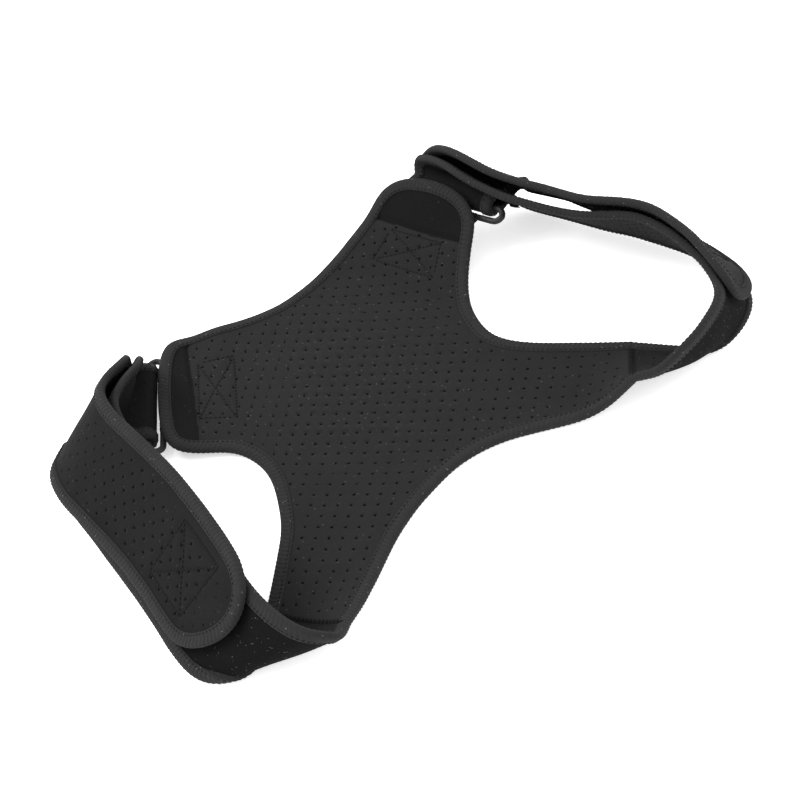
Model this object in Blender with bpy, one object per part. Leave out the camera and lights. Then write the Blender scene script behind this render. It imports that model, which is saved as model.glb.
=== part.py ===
"""Posture corrector: a foam back panel with four arms, two straps that each run through a ring and fold back on
themselves, and the tape that binds every edge. Metres, +Z up, inner face of the panel upward."""

import math

import bmesh
import bpy
import numpy as np
from mathutils import Vector

# Sizes of the whole.
REACH = 0.100  # unit of the tables: from the middle of the panel to the fold of a shoulder arm
STRAP_WIDTH = 0.0638  # foam of a strap, edge to edge inside its tape
FOAM = 0.0030
# Edge tape, folded over the foam.
TAPE_WIDTH = 0.0066
TAPE_WALL = 0.0007
FIT = 0.0004  # gap kept between two pieces
# Rings, each a rounded loop of round bar.
BAR = 0.0040
SLOT = 0.0072  # clear width between the two long bars
RING_CORNER = 0.0050  # of the middle of the bar
PLAY = 0.0040
# Tabs of webbing that hold the rings under the shoulder arms.
TAB_WIDTH = 0.046
TAB = 0.0012
# Hook patches between the two layers of a strap near its tip.
PAD_LENGTH = 0.042
PAD_SIDES = 0.20  # share of the width left free at each side of a patch

HALF = FOAM / 2
TAPE_HALF = HALF + FIT + TAPE_WALL
NOSE = 2 * FIT + TAPE_WALL  # how far the fold of the tape stands out past the foam
LAYER = 2 * TAPE_HALF + FIT  # between the middles of two strap layers that touch
TURN = BAR / 2 + FIT + TAPE_HALF  # radius of the middle of a strap round its bar
SLACK = FIT / 2  # by which the foam of a strap is thinner each way, as it bends inside its tape
PAD = LAYER - FOAM - 4 * FIT
RING_LENGTH = STRAP_WIDTH + 2 * (NOSE + RING_CORNER) + PLAY  # between the middles of the end bars
RING_WIDTH = SLOT + BAR
SEAM = 4 * FIT  # between the panel and a strap
STRAP_COLUMNS = (0.0, TAPE_WIDTH / STRAP_WIDTH, 0.5, 1 - TAPE_WIDTH / STRAP_WIDTH, 1.0)
STEPS = 4  # sections made between two rows of a table
CAP_STEPS = 4
TURN_STEPS = 4
TAPED = 7 * STEPS  # sections of a strap from its seam to where it starts to fold over towards the ring

# The four notches of the panel, between its arms: x, y, z as shares of REACH.
NECK = (0.09, 0.93, 0.027)
RIGHT = (0.81, -0.30, 0.027)
FOOT = (0.11, -1.04, 0.027)
LEFT = (-0.78, -0.32, 0.027)
# One row per section of an arm, outward, all as shares of REACH: x, y, z of the edge nearer the axis of the
# panel, x, y, z of the edge along the armhole, and how far the middle hangs below the line between them.
ROOT_DIP = 0.03
SHOULDER_LEFT = (
    (-0.16, 0.985, 0.028, -0.775, -0.12, 0.027, 0.03),
    (-0.36, 1.050, 0.048, -0.850, 0.05, 0.048, 0.00),
    (-0.54, 1.080, 0.068, -1.020, 0.19, 0.068, 0.00),
)
SHOULDER_RIGHT = (
    (0.36, 0.97, 0.028, 0.86, -0.06, 0.027, 0.03),
    (0.62, 1.01, 0.090, 0.96, 0.11, 0.090, 0.02),
    (0.86, 1.01, 0.205, 1.13, 0.26, 0.205, 0.00),
)
HIP_LEFT = (
    (-0.17, -1.085, 0.027, -0.85, -0.52, 0.027, 0.03),
    (-0.50, -1.215, 0.027, -0.95, -0.72, 0.027, 0.03),
    (-0.79, -1.440, 0.070, -1.12, -0.93, 0.027, 0.04),
    (-1.08, -1.690, 0.210, -1.32, -1.16, 0.027, 0.05),
)
HIP_RIGHT = (
    (0.38, -1.095, 0.027, 0.86, -0.48, 0.027, 0.03),
    (0.64, -1.235, 0.027, 0.99, -0.66, 0.027, 0.03),
    (0.86, -1.370, 0.090, 1.13, -0.81, 0.027, 0.04),
    (1.02, -1.490, 0.290, 1.33, -1.04, 0.027, 0.05),
)
# Lips, the rounded ends of the shoulder arms: reach past the last section, rise, squareness of the corners.
LIP_LEFT = (0.19, 0.055, 0.62)
LIP_RIGHT = (0.24, 0.07, 0.80)

# Straps, from the seam to the ring, as shares of REACH: x, y, z of the edge on the floor, x, y, z of a point that
# the standing edge lies towards, and how far the middle bulges outward.
STRAP_LEFT = (
    (-1.54, -1.36, 0.027, -1.26, -1.74, 0.28, 0.040),
    (-1.73, -1.38, 0.027, -1.38, -1.67, 0.38, 0.010),
    (-1.85, -1.18, 0.025, -1.40, -1.36, 0.42, 0.000),
    (-1.82, -0.60, 0.025, -1.34, -0.70, 0.42, 0.000),
    (-1.80, 0.00, 0.025, -1.32, 0.00, 0.43, 0.000),
    (-1.79, 0.38, 0.025, -1.30, 0.34, 0.43, 0.000),
    (-1.73, 0.60, 0.025, -1.26, 0.54, 0.43, 0.000),
    (-1.63, 0.70, 0.030, -1.17, 0.66, 0.40, 0.000),
    (-1.51, 0.67, 0.060, -1.05, 0.79, 0.31, 0.000),
    (-1.37, 0.57, 0.105, -0.98, 0.96, 0.19, 0.000),
    (-1.257, 0.497, 0.134, -0.937, 1.073, 0.138, 0.000),
    (-1.202, 0.466, 0.135, -0.882, 1.042, 0.135, 0.000),
)
STRAP_RIGHT = (
    (1.59, -1.37, 0.025, 1.27, -1.58, 0.33, 0.050),
    (1.83, -1.41, 0.027, 1.49, -1.60, 0.44, 0.010),
    (2.08, -1.22, 0.025, 1.71, -1.44, 0.48, 0.000),
    (2.12, -0.80, 0.025, 1.80, -1.03, 0.52, 0.000),
    (2.02, -0.38, 0.025, 1.76, -0.66, 0.53, 0.000),
    (1.89, -0.03, 0.025, 1.58, -0.35, 0.49, 0.000),
    (1.80, 0.24, 0.025, 1.44, 0.00, 0.48, 0.000),
    (1.73, 0.43, 0.030, 1.36, 0.34, 0.48, 0.000),
    (1.67, 0.51, 0.080, 1.33, 0.70, 0.49, 0.000),
    (1.58, 0.45, 0.210, 1.29, 0.94, 0.43, 0.000),
    (1.467, 0.364, 0.343, 1.240, 0.981, 0.347, 0.000),
    (1.409, 0.343, 0.345, 1.182, 0.960, 0.345, 0.000),
)
# The folded back layer of each strap, from the ring to the tip: share of the way back to the seam, distance out
# from the first layer and shift towards the standing edge, as shares of REACH.
RETURN_LEFT = (
    (0.0, 2 * TURN / REACH, 0.0),
    (0.03, 2 * TURN / REACH, 0.0),
    (0.11, 0.090, 0.00),
    (0.20, 0.100, 0.03),
    (0.32, 0.085, 0.06),
    (0.46, 0.057, 0.08),
    (1.0, 0.057, 0.08),
)
RETURN_RIGHT = (
    (0.0, 2 * TURN / REACH, 0.0),
    (0.03, 2 * TURN / REACH, 0.0),
    (0.12, 0.10, 0.01),
    (0.26, 0.12, 0.03),
    (0.42, 0.07, 0.06),
    (0.58, 0.058, 0.07),
    (1.0, 0.062, 0.07),
)
# Share of the way back to the seam where the rounding of each tip begins.
TIP_LEFT = 0.69
TIP_RIGHT = 0.65
# How far each ring slopes down from the strap to its arm, and the sections of the arm that its tab lies under.
RING_TILT_LEFT = math.radians(14)
RING_TILT_RIGHT = math.radians(26)
TAB_ROWS = 3


def unit(vectors):
    """The vectors scaled to length one."""
    return vectors / np.maximum(np.linalg.norm(vectors, axis=-1, keepdims=True), 1e-12)


def smoothed(rows, steps, ahead=None):
    """The rows of a table with further rows between them, on a smooth curve that comes from the row ahead."""
    rows = np.asarray(rows, float)
    padded = np.vstack([2 * rows[0] - rows[1] if ahead is None else ahead, rows, 2 * rows[-1] - rows[-2]])
    out = []
    for before, here, there, after in zip(padded, padded[1:], padded[2:], padded[3:]):
        for t in np.arange(steps) / steps:
            slope = (there - before) / 2
            bend = before - 2.5 * here + 2 * there - after / 2
            out.append(here + t * slope + t * t * bend + t**3 * (3 * (here - there) + after - before) / 2)
    out.append(rows[-1])
    return np.array(out)


def panel_columns(width):
    """Places across a panel arm, with a line one tape width inside each edge."""
    side = TAPE_WIDTH / width
    return np.concatenate([[0.0], np.linspace(side, 1 - side, 6), [1.0]])


def section(near, far, dip):
    """Points across the panel between two edge points; the middle hangs down, but not into the floor."""
    places = panel_columns(np.linalg.norm(far - near))[:, None]
    points = near + (far - near) * places
    points[:, 2] -= (dip * 4 * places * (1 - places))[:, 0]
    points[:, 2] = np.maximum(points[:, 2], [TAPE_HALF, TAPE_HALF, *[HALF] * 4, TAPE_HALF, TAPE_HALF])
    return points


def arm(near, far, table, past_near, past_far):
    """Sections of a panel arm, from the line between two notches outward. The tables of the arms past the notches
    give the slope of the outline there."""
    ahead = (*past_near[0][:3], *past_far[0][3:6], ROOT_DIP)
    rows = smoothed([(*near, *far, ROOT_DIP), *table], STEPS, ahead) * REACH
    return np.array([section(row[:3], row[3:6], row[6]) for row in rows])


def middle(neck_left, neck_right, foot_left, foot_right):
    """The patch between the notches, from the first sections of the arms: rows run to the right, columns down."""
    over = np.linspace(0, 1, len(neck_left))
    down, across = over[:, None, None], over[None, :, None]
    top, low = neck_right, foot_left[::-1]
    near, far = neck_left, foot_right[::-1]
    ends = (1 - down) * ((1 - across) * top[0] + across * top[-1]) + down * ((1 - across) * low[0] + across * low[-1])
    grid = (1 - down) * top[None] + down * low[None] + (1 - across) * near[:, None] + across * far[:, None] - ends
    grid[..., 2] = np.maximum(grid[..., 2], HALF)
    return grid


def cap_rows(last, outward, rise, square, shares):
    """Rows of a rounded end past the row last. Each column keeps its share of the radius; outward is its reach."""
    centre = (last[0] + last[-1]) / 2
    half = (last[0] - last[-1]) / 2
    rows = []
    for angle in np.linspace(0, math.pi / 2, CAP_STEPS + 1)[1:]:
        side, ahead = math.cos(angle) ** square, math.sin(angle) ** square
        row = [centre + half * c * side + outward * abs(c) * ahead for c in shares]
        for point, c in zip(row, shares):
            point[2] += rise * (abs(c) * ahead) ** 1.5
        rows.append(row)
    rows[-1] = [centre + outward * abs(c) + np.array([0, 0, rise * abs(c) ** 1.5]) for c in shares]
    return np.array(rows)


def lip(grid, sizes):
    """The rounded end of a shoulder arm, past its last section."""
    reach, rise, square = sizes
    last = grid[-1]
    along = last[0] - last[-1]
    travel = (grid[-1] - grid[-2]).mean(axis=0)
    outward = np.cross(along, [0, 0, 1])
    outward = unit(outward) * np.sign(outward @ travel)
    outward[2] = travel[2] / (outward @ travel)
    outward *= reach * REACH
    shares = 1 - 2 * panel_columns(np.linalg.norm(along))
    return np.vstack([grid, cap_rows(last, outward, rise * REACH, square, shares)])


class Sheet:
    """A surface of triangles with merged points, from grids of points, and its point normals."""

    def __init__(self, grids, flips):
        self.points, faces, self.ids = [], [], []
        index = {}
        for grid, flip in zip(grids, flips):
            ids = np.empty(grid.shape[:2], int)
            for place in np.ndindex(ids.shape):
                key = tuple(np.round(grid[place] / 1e-6).astype(int))
                if key not in index:
                    index[key] = len(self.points)
                    self.points.append(grid[place])
                ids[place] = index[key]
            self.ids.append(ids)
            for i in range(ids.shape[0] - 1):
                for j in range(ids.shape[1] - 1):
                    here, ahead, beyond, beside = ids[i, j], ids[i + 1, j], ids[i + 1, j + 1], ids[i, j + 1]
                    for face in ([here, ahead, beyond], [here, beyond, beside]):
                        if len(set(face)) > 2:
                            faces.append(face[::-1] if flip else face)
        self.points = np.array(self.points)
        self.faces = faces
        self.normals = self.point_normals()

    def point_normals(self):
        """Normals at the points, from the faces round each."""
        sums = np.zeros_like(self.points)
        for face in self.faces:
            first, second, third = self.points[face]
            sums[face] += np.cross(second - first, third - first)
        return unit(sums)

    def solid(self, half, floor=None):
        """Points and faces of the surface thickened both ways."""
        top = self.points + self.normals * half
        low = self.points - self.normals * half
        if floor is not None:
            low[:, 2] = np.maximum(low[:, 2], floor)
        count = len(self.points)
        faces = [list(face) for face in self.faces]
        faces += [[v + count for v in face[::-1]] for face in self.faces]
        sides = {(a, b) for face in self.faces for a, b in zip(face, face[1:] + face[:1])}
        faces += [[b, a, a + count, b + count] for a, b in sides if (b, a) not in sides]
        return np.vstack([top, low]), faces

    def tape(self, edge, inner):
        """Points and faces of tape folded over the edge whose points are edge, with inner one column inside."""
        at, within = self.points[edge], self.points[inner]
        up, up_in = self.normals[edge], self.normals[inner]
        travel = unit(np.gradient(at, axis=0))
        out = at - within
        out = unit(out - travel * (out * travel).sum(axis=1, keepdims=True))
        wall, gap = TAPE_HALF, HALF + FIT
        ring = [
            within + up_in * wall,
            at + out * NOSE + up * (wall - TAPE_WALL / 2),
            at + out * NOSE - up * (wall - TAPE_WALL / 2),
            within - up_in * wall,
            within - up_in * gap,
            at + out * 2 * FIT - up * gap,
            at + out * 2 * FIT + up * gap,
            within + up_in * gap,
        ]
        points = np.array(ring).transpose(1, 0, 2).reshape(-1, 3)
        size, rows = len(ring), len(edge)
        faces = []
        for i in range(rows - 1):
            for k in range(size):
                n = (k + 1) % size
                loop = [i * size + k, i * size + n, (i + 1) * size + n, (i + 1) * size + k]
                # The walls are split along the same diagonals as the surface under them.
                if k in (0, 4):
                    loop = loop[1:] + loop[:1]
                faces += [loop[:3], [loop[0], *loop[2:]]]
        # Each end is closed by three faces, so that none of them is hollow.
        for base, turn in ((0, -1), ((rows - 1) * size, 1)):
            for loop in ((0, 1, 6, 7), (1, 2, 5, 6), (2, 3, 4, 5)):
                faces.append([base + v for v in loop][::turn])
        return points, faces


class Course:
    """The first layer of a strap, from the seam to the ring, and places measured along it."""

    def __init__(self, last, before, dip, table, side):
        """last and before are the last two sections of the hip arm; side turns the way out to the looped face."""
        shift = unit((last - before).mean(axis=0)) * SEAM
        first = np.concatenate([last[-1] + shift, last[0] + shift, [dip * REACH]])
        rows = smoothed(np.vstack([first, np.array(table) * REACH]), STEPS)
        self.low, across, self.bulge = rows[:, :3], rows[:, 3:6] - rows[:, :3], rows[:, 6]
        width = np.full(len(rows), STRAP_WIDTH)
        width[: STEPS + 1] = np.linspace(np.linalg.norm(across[0]), STRAP_WIDTH, STEPS + 1)
        self.high = self.low + unit(across) * width[:, None]
        middles = (self.low + self.high) / 2
        self.stations = np.append(0, np.cumsum(np.linalg.norm(np.diff(middles, axis=0), axis=1)))
        self.travel = unit(np.gradient(middles, axis=0))
        self.out = unit(np.cross(across, self.travel)) * side

    def at(self, stations, values):
        """values of the sections at other stations."""
        return np.stack([np.interp(stations, self.stations, column) for column in values.T], axis=-1)

    def points(self, stations, places, distance):
        """Points at these stations and places across, this far out."""
        low, high, out = (self.at(stations, values) for values in (self.low, self.high, self.out))
        bulge = np.interp(stations, self.stations, self.bulge)
        hump = bulge * np.clip(4 * places * (1 - places), 0, None)
        return low + (high - low) * places[..., None] + unit(out) * (hump + distance)[..., None]


def strap_grid(course, back, tip):
    """Both layers of a strap: out to the ring, round its bar, back outside and to the rounded tip."""
    columns = np.array(STRAP_COLUMNS)
    full = np.broadcast_to(course.stations[:, None], (len(course.stations), len(columns)))
    first = course.points(full, np.broadcast_to(columns, full.shape), np.zeros(full.shape))
    fall = course.out[-1]
    ahead = unit(np.cross(fall, course.high[-1] - course.low[-1]))
    ahead *= np.sign(ahead @ course.travel[-1])
    angles = np.linspace(0, math.pi, TURN_STEPS + 1)[1:, None, None]
    turn = first[-1] + ahead * TURN * np.sin(angles) + fall * TURN * (1 - np.cos(angles))
    length = course.stations[-1]
    shares = np.array([row[0] for row in back])
    base = length * (1 - tip)
    stations = [s for s in course.stations[-2::-1] if s > base + TAPE_WIDTH] + [base]
    radius = STRAP_WIDTH / 2
    side = 1 - 2 * columns
    alongs, places = [], []
    for station in stations:
        alongs.append(np.full(len(columns), station))
        places.append(columns)
    for angle in np.linspace(0, math.pi / 2, CAP_STEPS + 1)[1:]:
        alongs.append(base - radius * np.abs(side) * math.sin(angle))
        places.append(0.5 - side * math.cos(angle) / 2)
    alongs, places = np.array(alongs), np.array(places)
    share = 1 - alongs / length
    distance = np.interp(share, shares, [row[1] for row in back]) * REACH
    shift = np.interp(share, shares, [row[2] for row in back]) * REACH / STRAP_WIDTH
    return np.vstack([first, turn, course.points(alongs, places + shift, distance)])


def pad_grid(course, back, tip):
    """The hook patch, halfway between the two layers."""
    base = course.stations[-1] * (1 - tip)
    stations = [base] + [s for s in course.stations if base + TAPE_WIDTH < s < base + PAD_LENGTH]
    places = np.linspace(PAD_SIDES, 1 - PAD_SIDES, 3)
    shape = (len(stations), len(places))
    alongs = np.broadcast_to(np.array(stations)[:, None], shape)
    shift = back[-1][2] * REACH / STRAP_WIDTH / 2
    return course.points(alongs, np.broadcast_to(places + shift, shape), np.full(shape, LAYER / 2))


def tab_grid(arm_rows, axis, bar):
    """Webbing from under the arm, round the ring's bar and back under: rows along it, edges across."""
    middles = (arm_rows[:, 3] + arm_rows[:, 4]) / 2
    travel = np.gradient(middles, axis=0)
    normals = unit(np.cross(axis, travel))
    normals *= np.sign(normals[:, 2:])
    upper = middles - normals * (HALF + FIT + TAB / 2)
    lower = upper - normals * (TAB + FIT)
    toward = bar - upper[-1]
    toward = unit(toward - axis * (axis @ toward))
    rise = unit(np.cross(axis, toward))
    rise *= np.sign(rise[2])
    radius = BAR / 2 + FIT + TAB / 2
    angles = np.linspace(math.pi / 2, -math.pi / 2, TURN_STEPS + 2)
    loop = [bar + radius * (rise * math.sin(a) + toward * math.cos(a)) for a in angles]
    path = np.array([*upper, *loop, *lower[::-1]])
    return np.stack([path - axis * TAB_WIDTH / 2, path, path + axis * TAB_WIDTH / 2], axis=1)


def finish(name, shape, material):
    """An object of this name from points and faces, with its faces turned outward."""
    points, faces = shape
    mesh = bpy.data.meshes.new(name)
    mesh.from_pydata([tuple(p) for p in points], [], [tuple(int(v) for v in face) for face in faces])
    solid = bmesh.new()
    solid.from_mesh(mesh)
    bmesh.ops.recalc_face_normals(solid, faces=solid.faces)
    bmesh.ops.triangulate(solid, faces=solid.faces)
    solid.to_mesh(mesh)
    solid.free()
    mesh.materials.append(material)
    obj = bpy.data.objects.new(name, mesh)
    bpy.context.scene.collection.objects.link(obj)
    return obj


def ring(name, middle, axis, toward, material):
    """A rounded loop of round bar about middle, long along axis and wide along toward."""
    curve = bpy.data.curves.new(name, "CURVE")
    curve.dimensions = "3D"
    curve.bevel_depth = BAR / 2
    curve.bevel_resolution = 3
    corners = []
    for quarter, (along, over) in enumerate(((1, 1), (-1, 1), (-1, -1), (1, -1))):
        for step in range(4):
            angle = (quarter + step / 3) * math.pi / 2
            corners.append((
                along * (RING_LENGTH / 2 - RING_CORNER) + RING_CORNER * math.cos(angle),
                over * (RING_WIDTH / 2 - RING_CORNER) + RING_CORNER * math.sin(angle),
            ))
    line = curve.splines.new("POLY")
    line.points.add(len(corners) - 1)
    for point, (along, over) in zip(line.points, corners):
        point.co = (*(middle + axis * along + toward * over), 1)
    line.use_cyclic_u = True
    line.use_smooth = True
    curve.materials.append(material)
    obj = bpy.data.objects.new(name, curve)
    bpy.context.scene.collection.objects.link(obj)
    return obj


def finish_of(name, colour, roughness):
    """A plain material."""
    material = bpy.data.materials.new(name)
    material.use_nodes = True
    shader = material.node_tree.nodes["Principled BSDF"]
    shader.inputs["Base Color"].default_value = (*colour, 1)
    shader.inputs["Roughness"].default_value = roughness
    return material


def looks_down(grid):
    """Whether the faces of a grid look down, so that they need turning."""
    return np.cross(grid[1, 3] - grid[0, 3], grid[0, 4] - grid[0, 3])[2] < 0


def main():
    """Builds every piece, then centres the whole over the origin."""
    for obj in list(bpy.data.objects):
        bpy.data.objects.remove(obj)
    fabric = finish_of("perforated fabric", (0.035, 0.034, 0.036), 0.85)
    binding = finish_of("binding tape", (0.055, 0.054, 0.056), 0.8)
    plastic = finish_of("black plastic", (0.012, 0.012, 0.013), 0.4)
    webbing = finish_of("webbing", (0.02, 0.02, 0.021), 0.85)
    hooks = finish_of("hook tape", (0.015, 0.015, 0.016), 0.7)

    left = lip(arm(NECK, LEFT, SHOULDER_LEFT, SHOULDER_RIGHT, HIP_LEFT), LIP_LEFT)
    right = lip(arm(NECK, RIGHT, SHOULDER_RIGHT, SHOULDER_LEFT, HIP_RIGHT), LIP_RIGHT)
    hip_left = arm(FOOT, LEFT, HIP_LEFT, HIP_RIGHT, SHOULDER_LEFT)
    hip_right = arm(FOOT, RIGHT, HIP_RIGHT, HIP_LEFT, SHOULDER_RIGHT)
    centre = middle(left[0], right[0], hip_left[0], hip_right[0])
    grids = [left, right, hip_left, hip_right, centre]
    panel = Sheet(grids, [looks_down(grid) for grid in grids])
    finish("back_panel", panel.solid(HALF, 0.0), fabric)
    a, b, c, d, e = panel.ids
    edge = [*d[:0:-1, -1], e[0, -1], *b[1:, -1], *b[-2:0:-1, 0], e[0, 0], *a[1:, 0], *a[-2:0:-1, -1], e[-1, 0]]
    inner = [*d[:0:-1, -2], e[1, -2], *b[1:, -2], *b[-2:0:-1, 1], e[1, 1], *a[1:, 1], *a[-2:0:-1, -2], e[-2, 1]]
    edge += [*c[1:, -1]]
    inner += [*c[1:, -2]]
    finish("panel_binding_upper", panel.tape(edge, inner), binding)
    edge = [*c[:0:-1, 0], e[-1, -1], *d[1:, 0]]
    inner = [*c[:0:-1, 1], e[-2, -2], *d[1:, 1]]
    finish("panel_binding_lower", panel.tape(edge, inner), binding)

    for name, hip, table, back, tip, arm_grid, side, tilt in (
        ("left", hip_left, STRAP_LEFT, RETURN_LEFT, TIP_LEFT, left, 1, RING_TILT_LEFT),
        ("right", hip_right, STRAP_RIGHT, RETURN_RIGHT, TIP_RIGHT, right, -1, RING_TILT_RIGHT),
    ):
        dip = (HIP_LEFT if side > 0 else HIP_RIGHT)[-1][-1]
        course = Course(hip[-1], hip[-2], dip, table, side)
        strap = Sheet([strap_grid(course, back, tip)], [side > 0])
        finish(f"strap_{name}", strap.solid(HALF - SLACK), fabric)
        (ids,) = strap.ids
        back_rows = ids[2 * len(course.low) + TURN_STEPS - 2 - TAPED :]
        edge = [*back_rows[:, 0], *back_rows[-2::-1, -1]]
        inner = [*back_rows[:, 1], *back_rows[-2::-1, -2]]
        finish(f"strap_binding_{name}", strap.tape(edge, inner), binding)
        out_rows = ids[: TAPED + 1]
        finish(f"strap_edge_low_{name}", strap.tape(out_rows[:, 0], out_rows[:, 1]), binding)
        finish(f"strap_edge_high_{name}", strap.tape(out_rows[:, -1], out_rows[:, -2]), binding)
        pad = Sheet([pad_grid(course, back, tip)], [False])
        finish(f"hook_pad_{name}", pad.solid(PAD / 2), hooks)

        axis = unit(course.high[-1] - course.low[-1])
        fall = course.out[-1]
        ahead = unit(np.cross(fall, axis))
        ahead *= np.sign(ahead @ course.travel[-1])
        bar = (course.low[-1] + course.high[-1]) / 2 + fall * TURN
        toward = unit(ahead * [1, 1, 0]) * math.cos(tilt) - np.array([0, 0, math.sin(tilt)])
        ring(f"ring_{name}", bar + toward * RING_WIDTH / 2, axis, toward, plastic)
        crease = len(arm_grid) - CAP_STEPS
        rows = arm_grid[crease - TAB_ROWS : crease]
        tab = Sheet([tab_grid(rows, axis, bar + toward * RING_WIDTH)], [False])
        finish(f"ring_tab_{name}", tab.solid(TAB / 2), webbing)

    bpy.context.view_layer.update()
    corners = np.array([obj.matrix_world @ Vector(c) for obj in bpy.data.objects for c in obj.bound_box])
    lowest, highest = corners.min(axis=0), corners.max(axis=0)
    shift = Vector((-(lowest[0] + highest[0]) / 2, -(lowest[1] + highest[1]) / 2, -lowest[2]))
    for obj in bpy.data.objects:
        obj.location = shift


main()
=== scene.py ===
"""Looks of the posture corrector.

A back panel of perforated foam fabric with four arms, and two straps that run through rings and fold back on
themselves, with their tape, stitching, rings, webbing and hook patches.
"""

import logging
import math
from collections.abc import Callable
from dataclasses import dataclass
from enum import Enum, IntEnum

import bpy
import numpy as np
from mathutils import Matrix, Vector, noise
from mathutils.bvhtree import BVHTree
from mathutils.kdtree import KDTree


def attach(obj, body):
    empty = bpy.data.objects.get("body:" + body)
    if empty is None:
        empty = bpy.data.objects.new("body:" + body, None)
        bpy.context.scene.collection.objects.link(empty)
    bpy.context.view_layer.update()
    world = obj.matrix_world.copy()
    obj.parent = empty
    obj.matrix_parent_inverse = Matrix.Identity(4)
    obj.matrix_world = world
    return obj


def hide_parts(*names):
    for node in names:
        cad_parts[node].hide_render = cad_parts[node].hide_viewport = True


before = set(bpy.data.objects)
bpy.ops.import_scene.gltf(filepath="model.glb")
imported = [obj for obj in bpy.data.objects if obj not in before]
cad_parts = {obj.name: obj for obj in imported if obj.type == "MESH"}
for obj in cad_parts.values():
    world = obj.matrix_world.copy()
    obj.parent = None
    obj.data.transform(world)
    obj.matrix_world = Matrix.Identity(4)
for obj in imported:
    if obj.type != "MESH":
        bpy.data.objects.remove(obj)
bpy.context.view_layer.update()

LOG = logging.getLogger("posture corrector")
Array = np.ndarray
Table = tuple[tuple[float, ...], ...]
Material = bpy.types.Material
Object = bpy.types.Object

# Where the tables' origin lies in the frame of the model.
PLACE = np.array([-0.0142404, 0.0356163, 0.0002128])
# Sizes that the pieces share, in metres.
REACH = 0.100  # unit of the tables
STRAP_WIDTH = 0.0638
HALF = 0.0030 / 2  # half the thickness of the foam
SEWN = HALF * 0.85  # height of stitches that pull the foam in
CLEARANCE = 0.0004  # room between pieces that lie on each other
TAPE_WIDTH = 0.0066
TAPE_HALF = HALF + 0.0011
LAYER = 2 * TAPE_HALF + CLEARANCE
BAR = 0.0040
RING_LENGTH = STRAP_WIDTH + 0.0170
RING_WIDTH = 0.0112
RING_CORNER = 0.0050
TURN = BAR / 2 + CLEARANCE + TAPE_HALF
TAB = 0.0012
SEAM = 0.0016
STEPS = 4
CAP_STEPS = 4
STRAP_COLUMNS = (0.0, TAPE_WIDTH / STRAP_WIDTH, 0.3, 0.5, 0.7, 1 - TAPE_WIDTH / STRAP_WIDTH, 1.0)
LEVELS = 3
INNER_COLUMNS = 6  # columns of an arm between its two edges
MIDDLES = (3, 4)  # the two columns next to the middle of an arm
LIP_BEND = 1.5  # how late the lips turn up
MERGE = 1e-6  # points nearer than this count as one

# Notches of the panel and the sections of its arms: near x, y, z, far x, y, z, dip, as shares of REACH.
NECK = (0.09, 0.93, 0.027)
RIGHT = (0.81, -0.30, 0.027)
FOOT = (0.11, -1.04, 0.027)
LEFT = (-0.78, -0.32, 0.027)
ROOT_DIP = 0.03
SHOULDER_LEFT = (
    (-0.16, 0.985, 0.028, -0.775, -0.12, 0.027, 0.03),
    (-0.36, 1.050, 0.048, -0.850, 0.05, 0.048, 0.00),
    (-0.54, 1.080, 0.068, -1.020, 0.19, 0.068, 0.00),
)
SHOULDER_RIGHT = (
    (0.36, 0.97, 0.028, 0.86, -0.06, 0.027, 0.03),
    (0.62, 1.01, 0.090, 0.96, 0.11, 0.090, 0.02),
    (0.86, 1.01, 0.205, 1.13, 0.26, 0.205, 0.00),
)
HIP_LEFT = (
    (-0.17, -1.085, 0.027, -0.85, -0.52, 0.027, 0.03),
    (-0.50, -1.215, 0.027, -0.95, -0.72, 0.027, 0.03),
    (-0.79, -1.440, 0.070, -1.12, -0.93, 0.027, 0.04),
    (-1.08, -1.690, 0.210, -1.32, -1.16, 0.027, 0.05),
)
HIP_RIGHT = (
    (0.38, -1.095, 0.027, 0.86, -0.48, 0.027, 0.03),
    (0.64, -1.235, 0.027, 0.99, -0.66, 0.027, 0.03),
    (0.86, -1.370, 0.090, 1.13, -0.81, 0.027, 0.04),
    (1.02, -1.490, 0.290, 1.33, -1.04, 0.027, 0.05),
)
# Straps, from the seam to the ring: x, y, z of the low edge, x, y, z towards the high edge, bulge.
STRAP_LEFT = (
    (-1.54, -1.36, 0.027, -1.26, -1.74, 0.28, 0.040),
    (-1.73, -1.38, 0.027, -1.38, -1.67, 0.38, 0.010),
    (-1.85, -1.18, 0.025, -1.40, -1.36, 0.42, 0.000),
    (-1.82, -0.60, 0.025, -1.34, -0.70, 0.42, 0.000),
    (-1.80, 0.00, 0.025, -1.32, 0.00, 0.43, 0.000),
    (-1.79, 0.38, 0.025, -1.30, 0.34, 0.43, 0.000),
    (-1.73, 0.60, 0.025, -1.26, 0.54, 0.43, 0.000),
    (-1.63, 0.70, 0.030, -1.17, 0.66, 0.40, 0.000),
    (-1.51, 0.67, 0.060, -1.05, 0.79, 0.31, 0.000),
    (-1.37, 0.57, 0.105, -0.98, 0.96, 0.19, 0.000),
    (-1.257, 0.497, 0.134, -0.937, 1.073, 0.138, 0.000),
    (-1.202, 0.466, 0.135, -0.882, 1.042, 0.135, 0.000),
)
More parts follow.
